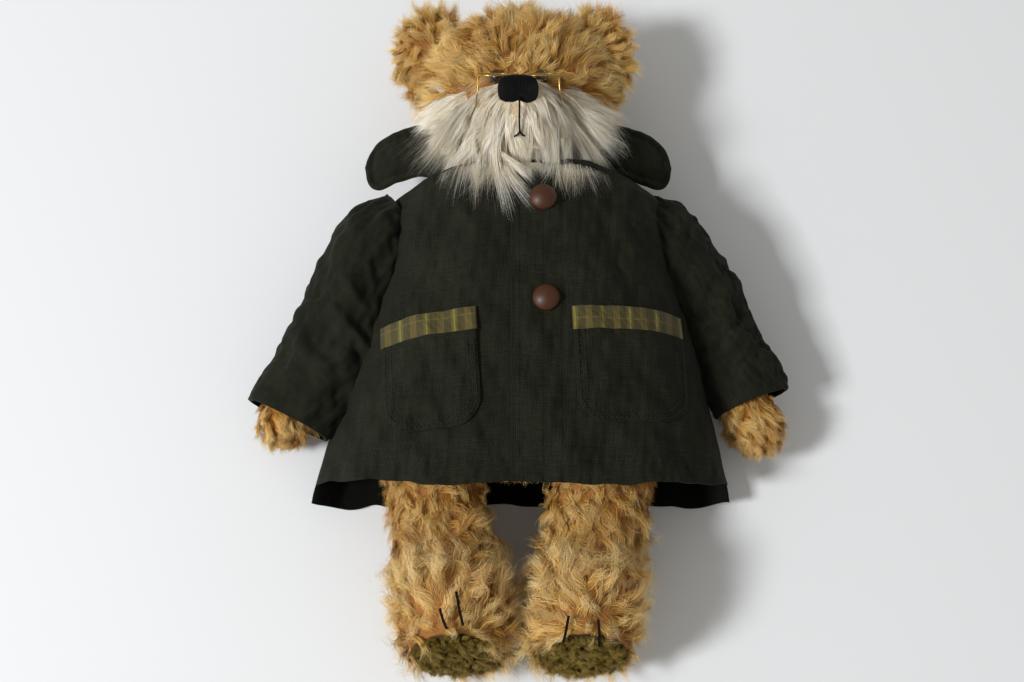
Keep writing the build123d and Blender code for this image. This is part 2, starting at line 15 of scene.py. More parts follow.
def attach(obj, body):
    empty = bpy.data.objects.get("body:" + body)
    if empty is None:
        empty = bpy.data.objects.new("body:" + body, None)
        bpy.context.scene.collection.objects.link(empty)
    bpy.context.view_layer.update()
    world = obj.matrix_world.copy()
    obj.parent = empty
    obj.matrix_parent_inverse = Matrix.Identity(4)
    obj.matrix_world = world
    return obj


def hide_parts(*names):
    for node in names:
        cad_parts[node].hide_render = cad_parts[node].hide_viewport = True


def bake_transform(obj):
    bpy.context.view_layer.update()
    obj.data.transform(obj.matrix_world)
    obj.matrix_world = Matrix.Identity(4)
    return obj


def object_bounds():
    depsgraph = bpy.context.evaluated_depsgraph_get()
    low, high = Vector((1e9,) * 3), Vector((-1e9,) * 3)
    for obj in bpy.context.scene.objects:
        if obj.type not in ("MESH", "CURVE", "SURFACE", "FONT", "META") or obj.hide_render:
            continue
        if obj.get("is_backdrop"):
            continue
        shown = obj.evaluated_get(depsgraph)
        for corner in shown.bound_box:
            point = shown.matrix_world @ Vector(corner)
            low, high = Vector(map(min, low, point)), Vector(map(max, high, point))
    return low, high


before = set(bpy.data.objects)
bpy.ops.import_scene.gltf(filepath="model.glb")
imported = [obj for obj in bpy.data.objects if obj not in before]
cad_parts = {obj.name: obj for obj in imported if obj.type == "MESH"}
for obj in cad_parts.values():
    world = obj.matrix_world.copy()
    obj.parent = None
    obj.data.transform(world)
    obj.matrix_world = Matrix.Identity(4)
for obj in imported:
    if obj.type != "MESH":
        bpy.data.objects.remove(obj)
cad_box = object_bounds()

MM = 0.001
SIDES = (("left", 1), ("right", -1))
UP = np.array([0.0, 0.0, 1.0])


# ---------------------------------------------------------------- small maths
def unit(v):
    """Vectors scaled to length one."""
    return v / np.maximum(np.linalg.norm(v, axis=-1, keepdims=True), 1e-9)


def smooth(t):
    """Smooth step from 0 to 1."""
    t = np.clip(t, 0, 1)
    return t * t * (3 - 2 * t)


def bell(t):
    """1 at 0, falling smoothly to 0 past 2."""
    return np.exp(-(t**2))


def xyz(*columns):
    """Points or vectors from their coordinates."""
    return np.stack(columns, -1)


def noise(p, size, seed, octaves=3):
    """Smooth noise, about -1 to 1, with features of the given size in mm."""
    r = np.random.default_rng(seed)
    p = np.asarray(p, float)
    total = np.zeros(p.shape[:-1])
    for octave in range(octaves):
        k = unit(r.normal(size=(6, p.shape[-1]))) * r.uniform(0.7, 1.5, (6, 1))
        k *= 2 * math.pi / size * 2**octave
        phase = r.uniform(0, 2 * math.pi, 6)
        total += 0.55**octave * np.sin(p @ k.T + phase).sum(-1) / 3.0
    return total


def drift(p, size, seed):
    """A smoothly wandering direction at each point."""
    return np.stack([noise(p, size, seed + axis) for axis in range(3)], -1)


def around(count):
    """Angles once round, without the repeated last one."""
    return np.linspace(0, 2 * math.pi, count, endpoint=False)[:, None]


def spline_rows(rows, count):
    """Smoothly resamples a table of rows to the given number of rows."""
    rows = np.asarray(rows, float)
    n = len(rows)
    at = np.linspace(0, n - 1, count)
    i = np.clip(at.astype(int), 0, n - 2)
    f = (at - i)[:, None]
    p0, p1 = rows[np.maximum(i - 1, 0)], rows[i]
    p2, p3 = rows[i + 1], rows[np.minimum(i + 2, n - 1)]
    a, b = -0.5 * p0 + 1.5 * p1 - 1.5 * p2 + 0.5 * p3, p0 - 2.5 * p1 + 2 * p2 - 0.5 * p3
    return ((a * f + b) * f + 0.5 * (p2 - p0)) * f + p1


# ---------------------------------------------------------------- meshes
def add_mesh(name, verts, faces, points=None, uv=None, material=None, slot=None):
    """A smooth-shaded mesh from arrays. points holds per-vertex numbers for the materials."""
    mesh = bpy.data.meshes.new(name)
    verts = np.asarray(verts, float).reshape(-1, 3) * MM
    groups = [np.asarray(f, np.int32) for f in (faces if isinstance(faces, list) else [faces])]
    loops = np.concatenate([g.ravel() for g in groups])
    sizes = np.concatenate([np.full(len(g), g.shape[1]) for g in groups])
    starts = np.concatenate([[0], np.cumsum(sizes)[:-1]])
    mesh.vertices.add(len(verts))
    mesh.vertices.foreach_set("co", verts.astype(np.float32).ravel())
    mesh.loops.add(len(loops))
    mesh.loops.foreach_set("vertex_index", loops)
    mesh.polygons.add(len(sizes))
    mesh.polygons.foreach_set("loop_start", starts.astype(np.int32))
    mesh.polygons.foreach_set("use_smooth", np.ones(len(sizes), bool))
    for key, values in (points or {}).items():
        layer = mesh.attributes.new(key, "FLOAT", "POINT")
        layer.data.foreach_set("value", np.asarray(values, np.float32).ravel())
    for key, coordinates in (uv or {}).items():
        layer = mesh.uv_layers.new(name=key)
        chosen = np.asarray(coordinates, np.float32).reshape(-1, 2)[loops]
        layer.data.foreach_set("uv", chosen.ravel())
    mesh.update(calc_edges=True)
    mesh.validate()
    ob = bpy.data.objects.new(name, mesh)
    bpy.context.scene.collection.objects.link(ob)
    if material:
        mesh.materials.append(material)
    return ob


def grid_faces(nu, nv, wrap=False):
    """Quads of a grid with nu columns and nv rows, closed around u if wrap."""
    i, j = np.meshgrid(np.arange(nu if wrap else nu - 1), np.arange(nv - 1), indexing="ij")
    k = (i + 1) % nu
    quads = xyz(i * nv + j, k * nv + j, k * nv + j + 1, i * nv + j + 1)
    return quads.reshape(-1, 4)


def applied(ob):
    """Keeps only the result of a piece's modifiers."""
    bpy.context.view_layer.update()
    shape = bpy.data.meshes.new_from_object(ob.evaluated_get(bpy.context.evaluated_depsgraph_get()))
    ob.modifiers.clear()
    ob.data = shape
    return ob


def joined(name, parts, **kwargs):
    """One mesh from several (vertices, faces) pairs with faces of one width."""
    verts, faces, base = [], [], 0
    for v, f in parts:
        v = np.asarray(v, float).reshape(-1, 3)
        verts.append(v)
        faces.append(np.asarray(f) + base)
        base += len(v)
    return add_mesh(name, np.concatenate(verts), np.concatenate(faces), **kwargs)


def tube(path, radius, sides=8, ends=True):
    """Vertices and quads of a round cord along a path, closed to points at its ends."""
    path = np.asarray(path, float)
    radius = np.broadcast_to(np.asarray(radius, float), (len(path),)).copy()
    if ends:
        path = np.concatenate([path[:1], path, path[-1:]])
        radius = np.concatenate([[radius[0] * 0.05], radius, [radius[-1] * 0.05]])
    tangent = unit(np.gradient(path, axis=0) + 1e-9)
    helper = np.where(np.abs(tangent[:, 2:3]) > 0.9, [[1.0, 0, 0]], [[0, 0, 1.0]])
    side = unit(np.cross(tangent, helper))
    over = np.cross(side, tangent)
    angle = around(sides)[..., None]
    ring = np.cos(angle) * side + np.sin(angle) * over
    return path + ring * radius[:, None], grid_faces(sides, len(path), wrap=True)


def settle(ob, body, *nodes):
    """Rides a piece on a body, in place of the CAD nodes that it shows."""
    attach(ob, body)
    if nodes:
        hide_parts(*nodes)
    return ob


def backing(name, skin, material, slot, body, *nodes):
    """A skin as a piece of its own on a body."""
    return settle(add_mesh(name, skin[0], skin[2], material=material, slot=slot), body, *nodes)


# ---------------------------------------------------------------- skins
def egg_skin(centre, radii, nu=64, nv=40, lumps=0.0, seed=0):
    """Vertices, normals and quads of a rounded form."""
    u = around(nu)
    v = np.linspace(0.001, math.pi - 0.001, nv)[None, :]
    ball = xyz(np.sin(v) * np.cos(u), np.cos(v) + 0 * u, np.sin(v) * np.sin(u))
    normal = unit(ball / np.asarray(radii))
    verts = ball * radii + centre
    if lumps:
        verts = verts + normal * (noise(verts, 34, seed) * lumps)[..., None]
    return verts, normal, grid_faces(nu, nv, wrap=True)


def limb_skin(rows, nu=48, nv=60, lumps=0.0, seed=0):
    """Skin of a limb through rows of (x, y, z, lean, tilt, half width, half depth)."""
    rows = spline_rows(rows, nv)
    lean, tilt = np.radians(rows[:, 3]), np.radians(rows[:, 4])
    along = xyz(np.sin(lean), -np.cos(lean) * np.cos(tilt), np.sin(tilt))
    across = unit(np.cross(UP, along))
    over = np.cross(along, across)
    u = around(nu)[..., None]
    ring = np.cos(u) * across * rows[:, 5, None] + np.sin(u) * over * rows[:, 6, None]
    verts = rows[:, :3] + ring
    du = np.roll(verts, -1, 0) - np.roll(verts, 1, 0)
    dv = np.gradient(verts, axis=1)
    normal = unit(np.cross(dv, du))
    outward = (normal * ring).sum(-1, keepdims=True)
    normal = np.where(outward < 0, -normal, normal)
    if lumps:
        verts = verts + normal * (noise(verts, 30, seed) * lumps)[..., None]
    return verts, normal, grid_faces(nu, nv, wrap=True)


def scatter(skin, count, rng, keep=None):
    """Random points on a skin, evenly by area, with normals. keep(points) gives a probability."""
    verts, normals, quads = skin
    verts, normals = verts.reshape(-1, 3), normals.reshape(-1, 3)
    tris = np.concatenate([quads[:, [0, 1, 2]], quads[:, [0, 2, 3]]])
    a, b, c = (verts[tris[:, i]] for i in range(3))
    area = np.linalg.norm(np.cross(b - a, c - a), axis=1)
    weight = area * (keep((a + b + c) / 3) if keep else 1)
    pick = rng.choice(len(tris), count, p=weight / weight.sum())
    r1, r2 = np.sqrt(rng.random(count))[:, None], rng.random(count)[:, None]
    shares = (1 - r1, r1 * (1 - r2), r1 * r2)
    point = sum(s * verts[tris[pick, i]] for i, s in enumerate(shares))
    normal = unit(sum(s * normals[tris[pick, i]] for i, s in enumerate(shares)))
    return point, normal


# ---------------------------------------------------------------- fur
def fur(name, roots, normals, flow, length, material, slot, body, seed,
        lock_size=7.0, lift=0.55, curl=0.16, turns=1.1, clump=0.75, width=0.42, segments=5,
        stray=0.10, droop=None, floor=0.5, mess=0.55, uneven=0.18):
    """Tapered ribbons gathered into curly locks, as one mesh.

    flow gives each root's combing direction, lift how far hairs stand off the skin, and length
    one number per root. Hairs near each other share a lock: they follow its curve and close in
    on it towards their tips.
    """
    r = np.random.default_rng(seed)
    n = len(roots)
    # lock centres, thinned from the roots themselves
    guides, taken = [], kdtree.KDTree(n)
    for i, p in enumerate(roots):
        taken.insert(p, i)
    taken.balance()
    free = np.ones(n, bool)
    owner = np.zeros(n, int)
    best = np.full(n, 1e9)
    for i in r.permutation(n):
        if not free[i]:
            continue
        guides.append(i)
        size = lock_size * r.uniform(0.7, 1.35)
        for _, j, distance in taken.find_range(roots[i], size * 1.6):
            if distance < size * 0.8:
                free[j] = False
            if distance < best[j]:
                best[j], owner[j] = distance, len(guides) - 1
    guides = np.array(guides)
    g = len(guides)
    # each lock's own frame and curve
    gn, gf = normals[guides], unit(flow[guides] + mess * r.normal(size=(g, 3)))
    gf = unit(gf - (gf * gn).sum(-1, keepdims=True) * gn)
    glift = np.clip(lift + uneven * r.normal(size=(g, 1)), 0.08, 0.95)
    gdir = unit(gf * (1 - glift) + gn * glift)
    gside = unit(np.cross(gdir, gn))
    phase = r.uniform(0, 2 * math.pi, (g, 1, 1))
    gturns = turns * r.uniform(0.6, 1.5, (g, 1, 1))
    gcurl = curl * r.uniform(0.4, 1.7, (g, 1, 1))
    glength = r.uniform(0.8, 1.15, g)
    t = np.linspace(0, 1, segments + 1)[None, :, None]
    bend = gf * (1 - glift) * 0.5 - gn * 0.35 * glift
    wave = 2 * math.pi * gturns * t + phase
    shape = gdir[:, None] * t + bend[:, None] * t**2
    swing = gcurl * t**0.8
    shape = shape + swing * ((np.sin(wave) - np.sin(phase)) * gside[:, None]
                             + 0.7 * (np.cos(wave) - np.cos(phase)) * np.cross(gdir, gside)[:, None])
    if droop is not None:
        shape = shape + np.asarray(droop) * t**2
    # hairs
    own = length * glength[owner] * r.uniform(0.72, 1.08, n)
    offset = roots - roots[guides[owner]]
    loose = r.normal(size=(n, 1, 3)) * stray
    path = shape[owner] * own[:, None, None]
    path = path - offset[:, None] * (clump * smooth(t) * r.uniform(0.7, 1.1, (n, 1, 1)))
    path = roots[:, None] + path + loose * t**1.5 * own[:, None, None]
    low = floor(path[..., 0], path[..., 1]) if callable(floor) else floor
    path[..., 2] = np.maximum(path[..., 2], low + 0.6 * r.random((n, 1)))
    tangent = unit(np.gradient(path, axis=1))
    face = unit(normals[:, None] + 0.45 * r.normal(size=(n, 1, 3)))
    side = unit(np.cross(tangent, face))
    taper = (1 - t**2.5) * (0.75 + 0.25 * np.minimum(t * 6, 1))
    half = 0.5 * width * r.uniform(0.7, 1.3, (n, 1, 1)) * taper * side
    left, right = path[:, :-1] - half[:, :-1], path[:, :-1] + half[:, :-1]
    verts = np.concatenate([np.stack([left, right], 2).reshape(n, -1, 3), path[:, -1:]], 1)
    per = 2 * segments + 1
    base = (np.arange(n) * per)[:, None]
    ring = np.arange(segments - 1) * 2
    quads = xyz(base + ring, base + ring + 1, base + ring + 3, base + ring + 2)
    last = 2 * segments - 2
    tips = np.concatenate([base + last, base + last + 1, base + last + 2], 1)
    along = np.concatenate([np.repeat(np.linspace(0, 1, segments + 1)[:-1], 2), [1.0]])
    points = {
        "along": np.tile(along, n),
        "lock": np.repeat(r.random(g)[owner], per),
        "hair": np.repeat(r.random(n), per),
    }
    cells = math.ceil(math.sqrt(n))
    cell = xyz(np.arange(n) % cells, np.arange(n) // cells)[:, None]
    inside = xyz(np.append(np.tile([0.2, 0.8], segments), 0.5), 0.1 + 0.8 * along)
    ob = add_mesh(name, verts, [quads.reshape(-1, 4), tips], points,
                  {"OFBake": (cell + inside[None]) / cells}, material, slot)
    return settle(ob, body)


# ---------------------------------------------------------------- materials
class Nodes:
    """A short way to write a material's node tree."""

    def __init__(self, name):
        self.material = bpy.data.materials.new(name)
        self.material.use_nodes = True
        self.tree = self.material.node_tree
        self.shader = self.tree.nodes["Principled BSDF"]

    def add(self, kind, values=None, **inputs):
        node = self.tree.nodes.new("ShaderNode" + kind)
        for key, value in (values or {}).items():
            setattr(node, key, value)
        for key, value in inputs.items():
            self.join(value, node.inputs[int(key[1:]) if key[1:].isdigit() else key.replace("_", " ")])
        return node

    def join(self, value, socket):
        if isinstance(value, bpy.types.NodeSocket):
            self.tree.links.new(value, socket)
        elif isinstance(value, bpy.types.Node):
            self.tree.links.new(value.outputs[0], socket)
        else:
            socket.default_value = value

    def attribute(self, name):
        node = self.add("Attribute", {"attribute_name": name})
        return node.outputs["Fac"]

    def place(self):
        return self.add("TexCoord").outputs["Object"]

    def uv(self, name="cloth"):
        return self.add("UVMap", {"uv_map": name}).outputs[0]

    def math(self, operation, a, b=0.0):
        return self.add("Math", {"operation": operation}, i0=a, i1=b).outputs[0]

    def times(self, a, b):
        return self.math("MULTIPLY", a, b)

    def plus(self, a, b):
        return self.math("ADD", a, b)

    def noise(self, vector, scale, detail=3.0, rough=0.55):
        node = self.add("TexNoise", Vector=vector, Scale=scale, Detail=detail, Roughness=rough)
        return node.outputs["Fac"]

    def ramp(self, value, *stops):
        node = self.add("ValToRGB", Fac=value)
        band = node.color_ramp
        while len(band.elements) < len(stops):
            band.elements.new(0.5)
        for element, (position, colour) in zip(band.elements, stops):
            element.position = position
            element.color = (*colour, 1) if len(colour) == 3 else colour
        return node.outputs["Color"]

    def mix(self, share, a, b, blend="MIX"):
        node = self.add("Mix", {"data_type": "RGBA", "blend_type": blend})
        self.join(share, node.inputs[0])
        for value, socket in ((a, node.inputs[6]), (b, node.inputs[7])):
            self.join((*value, 1) if isinstance(value, tuple) else value, socket)
        return node.outputs[2]

    def set(self, **inputs):
        for key, value in inputs.items():
            if isinstance(value, tuple) and len(value) == 3:
                value = (*value, 1)
            self.join(value, self.shader.inputs[key.replace("_", " ")])

    def bump(self, height, strength=0.4, distance=0.0006):
        node = self.add("Bump", Strength=strength, Distance=distance, Height=height)
        self.join(node, self.shader.inputs["Normal"])


def rgb(r, g, b):
    """Linear colour from screen values of 0 to 255."""
    return tuple((v / 255) ** 2.2 for v in (r, g, b))


def fur_material(name, root, middle, tip, rust):
    """Hair that darkens to its root, partly its own colour and partly painted shade deep in the pile, with
    tips brightened partly as a painted highlight; it varies lock by lock and turns rusty in patches.
    """
    m = Nodes(name)
    along = m.attribute("along")
    # root to tip ramp: the darker roots are partly painted shade in the pile, the lighter tips partly a
    # painted highlight
    body = m.ramp(along, (0.0, root), (0.42, middle), (1.0, tip))
    patch = m.noise(m.place(), 45.0, 3.0)
    wear = m.ramp(patch, (0.42, (0, 0, 0)), (0.66, (1, 1, 1)))
    tint = m.mix(m.times(wear, 0.45), body, rust)
    shade = m.ramp(m.attribute("lock"), (0.0, (0.8, 0.77, 0.7)), (0.5, (1, 1, 1)),
                   (1.0, (1.12, 1.12, 1.08)))
    tint = m.mix(1.0, tint, shade, "MULTIPLY")
    single = m.ramp(m.attribute("hair"), (0.0, (0.8, 0.78, 0.74)), (1.0, (1.16, 1.14, 1.1)))
    tint = m.mix(1.0, tint, single, "MULTIPLY")
    m.set(Base_Color=tint, Roughness=0.55, Sheen_Weight=0.25, Sheen_Roughness=0.4)
    m.set(Specular_IOR_Level=0.35)
    m.set(Sheen_Tint=(*tip, 1))
    return m.material


def skin_material(name, base, dark):
    """Knitted backing seen between hairs."""
    m = Nodes(name)
    grain = m.noise(m.place(), 900.0, 2.0)
    m.set(Base_Color=m.mix(grain, dark, base), Roughness=0.9)
    m.bump(grain, 0.6)
    return m.material


def cloth_material(name, light, dark, thread=1.15):
    """Plain weave: two crossing sets of yarns with slubs, from the cloth's own millimetre map."""
    m = Nodes(name)
    uv = m.uv()
    parts = m.add("SeparateXYZ", Vector=uv)
    pitch = 2 * math.pi / thread
    wobble = m.noise(uv, 0.35, 2.0)
    heights = []
    for axis, other in ((0, 1), (1, 0)):
        shifted = m.plus(parts.outputs[axis], m.times(wobble, 0.8))
        yarn = m.math("SINE", m.times(shifted, pitch))
        over = m.math("SINE", m.times(parts.outputs[other], pitch / 2))
        heights.append(m.times(yarn, m.plus(m.times(over, 0.45), 0.55)))
    weave = m.plus(m.times(m.plus(*heights), 0.25), 0.5)
    slubs = []
    for stretch in ((0.05, 0.75, 1), (0.75, 0.05, 1)):
        mapped = m.add("Mapping", Vector=uv, Scale=stretch)
        slubs.append(m.noise(mapped.outputs[0], 1.9, 3.0, 0.65))
    slub = m.times(m.plus(*slubs), 0.5)
    broad = m.noise(uv, 0.035, 3.0)
    # tone follows the weave's height, so the hollows between yarns are darker: painted shade; the slubs and
    # the broad noise are the cloth's own uneven tone
    tone = m.plus(m.times(weave, 0.5), m.times(slub, 1.1))
    tone = m.plus(tone, m.times(broad, 0.35))
    colour = m.ramp(m.math("SUBTRACT", tone, 0.42), (0.25, dark), (0.85, light))
    m.set(Base_Color=colour, Roughness=0.9, Sheen_Weight=0.025, Sheen_Roughness=0.5)
    m.set(Specular_IOR_Level=0.12)
    m.bump(m.plus(m.times(weave, 0.6), m.times(slub, 0.9)), 0.75, 0.0005)
    return m


golden = fur_material("golden_mohair", rgb(146, 92, 30), rgb(212, 166, 82), rgb(252, 228, 162),
                      rgb(186, 116, 42))
cream = fur_material("cream_mohair", rgb(228, 214, 188), rgb(246, 241, 230), rgb(255, 254, 250),
                     rgb(244, 232, 206))
olive = fur_material("olive_plush", rgb(78, 62, 22), rgb(134, 112, 46), rgb(164, 142, 68), rgb(108, 86, 32))
blond = fur_material("blond_mohair", rgb(164, 112, 46), rgb(228, 188, 108), rgb(255, 238, 184),
                     rgb(206, 146, 72))
tan_pad = fur_material("tan_plush", rgb(120, 62, 22), rgb(170, 102, 46), rgb(196, 130, 66), rgb(150, 84, 34))
golden_skin = skin_material("golden_backing", rgb(176, 122, 62), rgb(128, 78, 34))
cream_skin = skin_material("cream_backing", rgb(222, 198, 162), rgb(190, 158, 116))
olive_skin = skin_material("olive_backing", rgb(92, 80, 36), rgb(58, 50, 22))

coat_cloth = cloth_material("coat_cloth", rgb(48, 49, 38), rgb(9, 10, 6)).material
lining = cloth_material("coat_lining", rgb(24, 25, 20), rgb(6, 7, 5)).material


def plain(name, colour, rough=0.5, metal=0.0, coat=0.0, grain=0.0, grain_scale=400.0):
    """A simple finish with a little procedural grain in its colour and gloss."""
    m = Nodes(name)
    speck = m.noise(m.place(), grain_scale, 3.0)
    low = tuple(c * (1 - grain) for c in colour)
    high = tuple(c * (1 + grain) for c in colour)
    m.set(Base_Color=m.mix(speck, low, high), Metallic=metal, Coat_Weight=coat)
    m.set(Roughness=m.plus(m.times(speck, 0.15), rough - 0.07))
    return m


def satin_stitch(name):
    """Black thread laid side by side."""
    m = Nodes(name)
    parts = m.add("SeparateXYZ", Vector=m.place())
    wander = m.times(m.noise(m.place(), 160.0, 2.0), 0.0012)
    across = m.plus(parts.outputs[0], wander)
    rows = m.math("SINE", m.times(across, 2 * math.pi / 0.0009))
    # colour follows the thread rows: lighter on each thread's crest, darker in the grooves between threads,
    # as painted shade
    m.set(Base_Color=m.mix(m.plus(m.times(rows, 0.5), 0.5),
                           (0.001, 0.001, 0.0012), (0.008, 0.008, 0.009)))
    m.set(Roughness=0.6, Specular_IOR_Level=0.12)
    m.bump(rows, 0.8, 0.0004)
    return m.material


black_thread = satin_stitch("black_thread")
gilt = plain("gilt_wire", rgb(188, 150, 86), 0.24, 1.0, grain=0.15).material
horn = plain("button_horn", rgb(70, 36, 6), 0.5, coat=0.03, grain=0.35, grain_scale=120.0)
horn.bump(horn.noise(horn.place(), 300.0), 0.08)
horn = horn.material
eye_brown = plain("eye_brown", rgb(30, 14, 6), 0.12, coat=1.0, grain=0.3).material
coat_thread = plain("coat_thread", rgb(30, 31, 24), 0.9, grain=0.3, grain_scale=900.0).material


def lens_material():
    m = Nodes("lens")
    m.set(Base_Color=(0.97, 0.98, 0.97), Roughness=0.04, Transmission_Weight=1.0, IOR=1.45)
    m.set(Alpha=0.3)
    return m.material


def plaid_material():
    """Yellow-green ground with olive, brown and maroon stripes, in millimetres of its own map."""
    m = Nodes("plaid")
    uv = m.uv()
    parts = m.add("SeparateXYZ", Vector=uv)

    def stripes(value, period, offset, width):
        phase = m.math("FRACT", m.math("DIVIDE", m.plus(value, offset), period))
        gap = m.math("ABSOLUTE", m.math("SUBTRACT", phase, 0.5))
        return m.math("LESS_THAN", gap, width / period / 2)

    x, y = parts.outputs[0], parts.outputs[1]
    colour = m.mix(stripes(x, 8.0, 0.0, 4.2), rgb(98, 88, 34), rgb(74, 66, 28))
    colour = m.mix(m.times(stripes(x, 8.0, 4.0, 1.1), 0.8), colour, rgb(140, 132, 56))
    colour = m.mix(m.times(stripes(x, 16.0, 0.0, 1.2), 0.7), colour, rgb(84, 46, 30))
    colour = m.mix(m.times(stripes(y, 24.0, 3.5, 2.4), 0.6), colour, rgb(74, 44, 26))
    colour = m.mix(m.times(stripes(y, 24.0, 12.0, 1.0), 0.35), colour, rgb(120, 112, 50))
    pitch = 2 * math.pi / 0.9
    weave = m.plus(m.math("SINE", m.times(x, pitch)),
                   m.math("SINE", m.times(y, pitch)))
    weave = m.plus(m.times(weave, 0.25), 0.5)
    m.set(Base_Color=m.mix(m.times(weave, 0.5), colour, (0.02, 0.018, 0.01)))
    m.set(Roughness=0.85, Sheen_Weight=0.1)
    m.bump(weave, 0.6, 0.0004)
    return m.material


lens_glass = lens_material()
plaid = plaid_material()

rng = np.random.default_rng(5)

HEAD_HAIRS, EAR_HAIRS, MUZZLE_HAIRS, TORSO_HAIRS = 52000, 12000, 24000, 9000
ARM_HAIRS, LEG_HAIRS, SOLE_HAIRS, PAW_HAIRS = 9000, 36000, 12000, 1800
HEAD_PILE, TORSO_PILE, ARM_PILE, LEG_PILE, SOLE_PILE, PAW_PILE = 16.0, 7.5, 9.5, 13.0, 6.0, 3.6
# fine brushed mohair with soft small locks
FINE = dict(lock_size=4.4, lift=0.36, curl=0.15, turns=1.0, clump=0.42, width=0.23, stray=0.12, mess=0.4)

# ---------------------------------------------------------------- head
HEAD, HEAD_R = np.array([0.0, 158.0, 49.0]), (57.0, 53.0, 43.0)
MUZZLE, MUZZLE_R = np.array([0.0, 130.0, 76.0]), (28.0, 26.0, 35.0)
EAR, EAR_R = np.array([54.0, 184.0, 57.0]), (20.0, 28.0, 9.0)

head_skin = egg_skin(HEAD, HEAD_R, lumps=1.2, seed=3)
muzzle_skin = egg_skin(MUZZLE, MUZZLE_R, lumps=0.6, seed=4)
backing("head_backing", head_skin, golden_skin, "golden_mohair", "head", "head_cover", "head_stuffing")
backing("muzzle_backing", muzzle_skin, cream_skin, "cream_mohair", "head", "muzzle_cover")


def in_muzzle(p):
    """How far inside the muzzle's egg points lie: below 1 is inside."""
    return (((p - MUZZLE) / np.asarray(MUZZLE_R)) ** 2).sum(-1)


def skull_keep(p):
    """Fur is thick where it shows, thin underneath, and absent under the muzzle and at the neck."""
    keep = np.where(p[:, 2] > 30, 1.0, 0.4)
    keep = keep * (in_muzzle(p) > 1.0)
    return keep * (p[:, 1] > 112)


def cheek(p):
    """Share of the head that carries the muzzle's pale pile: below the spectacles, in front."""
    edge = 151.0 + 3.0 * noise(p, 16, 19)
    return smooth((edge - p[:, 1]) / 4) * smooth((p[:, 2] - 44) / 8)


roots, normals = scatter(head_skin, HEAD_HAIRS, rng, skull_keep)
pale = cheek(roots) > 0.5
cheek_roots, cheek_normals = roots[pale], normals[pale]
roots, normals = roots[~pale], normals[~pale]
away = roots - np.array([0.0, 140.0, 100.0])
flow = unit(away * (1.0, 1.1, 1.0)) + 0.4 * drift(roots, 34, 21)
near_face = np.linalg.norm(away, axis=1)
length = HEAD_PILE * (0.4 + 0.6 * smooth((near_face - 12) / 38)) * (1 + 0.12 * noise(roots, 25, 8))
fur("head_fur", roots, normals, flow, length, golden, "golden_mohair", "head", 101, **FINE)

for name, side in SIDES:
    centre = EAR * (side, 1, 1) - (6.0 if side == 1 else 0.0, 0, 0)
    ear_skin = egg_skin(centre, EAR_R, nu=40, nv=24)
    backing(f"{name}_ear_backing", ear_skin, golden_skin, "golden_mohair", "head", f"{name}_ear")
    roots, normals = scatter(ear_skin, EAR_HAIRS, rng)
    out = unit(roots - centre)
    flow = out + np.array([side * 0.3, 0.1, 0.0]) + 0.3 * drift(roots, 18, 24)
    rim = smooth((np.linalg.norm((roots - centre)[:, :2], axis=1) - 12) / 12)
    length = 8.5 + 3.5 * rim
    fur(f"{name}_ear_fur", roots, normals, flow, length, golden, "golden_mohair", "head", 102 + side, **FINE)

# The muzzle's long pile parts at the mouth line and sweeps out and down over the collar.
roots, normals = scatter(muzzle_skin, MUZZLE_HAIRS, rng, lambda p: 1.0 * (p[:, 2] > 58))
roots, normals = np.concatenate([roots, cheek_roots]), np.concatenate([normals, cheek_normals])
nose_gap = np.linalg.norm((roots - np.array([0.0, 138.5, 110.0])) * (0.8, 1.0, 0.6), axis=1)
keep = (nose_gap > 8.5) & ~((roots[:, 1] > 149) & (roots[:, 2] > 84))
keep &= ~((roots[:, 1] < 122) & (roots[:, 2] < 74))
roots, normals, nose_gap = roots[keep], normals[keep], nose_gap[keep]
part = np.sign(roots[:, 0] + 0.4 * rng.normal(size=len(roots)))
sideways = part * np.maximum(np.abs(roots[:, 0]), 3.0)
down = np.minimum(roots[:, 1] - 150.0, -2.0)
fan = unit(xyz(sideways * 1.25, down, 0 * down))
beard_flow = fan + 0.2 * drift(roots, 24, 27)
beard_length = 7 + 37 * smooth((nose_gap - 9) / 22)
middle = smooth((np.abs(roots[:, 0]) - 1.5) / 7)
beard_length = beard_length * (0.32 + 0.68 * np.maximum(middle, smooth((118 - roots[:, 1]) / 8)))
spread = np.hypot(roots[:, 0] / 60, (roots[:, 1] - 142) / 58)
beard_length = np.minimum(beard_length, 5 + 45 * np.clip(1 - spread, 0, 1))
beard_length = beard_length * (1 + 0.2 * smooth((-roots[:, 0] - 4) / 8) * smooth((126 - roots[:, 1]) / 8))
chin = bell((roots[:, 0] - 8) / 22) * smooth((130 - roots[:, 1]) / 10)
beard_length = beard_length * (1 - 0.38 * chin)
beard_roots, beard_normals = roots, normals

# ---------------------------------------------------------------- nose, mouth, eyes, spectacles
NOSE_AT, NOSE_HALF = np.array([-0.4, 136.6, 108.8]), (12.0, 9.4)
NOSE_CROWN, NOSE_THREAD, NOSE_TILT = 6.2, 0.95, math.radians(16)


def nose_outline(angle):
    """Rounded wide top, narrower base with a small notch in the middle."""
    c, s = np.cos(angle), np.sin(angle)
    x = np.sign(c) * np.abs(c) ** 0.72 * (1 + 0.07 * s)
    y = np.sign(s) * np.abs(s) ** 0.8
    notch = 0.2 * bell(x / 0.2) * (s < 0)
    return x * NOSE_HALF[0], y * NOSE_HALF[1] + notch * NOSE_HALF[1]


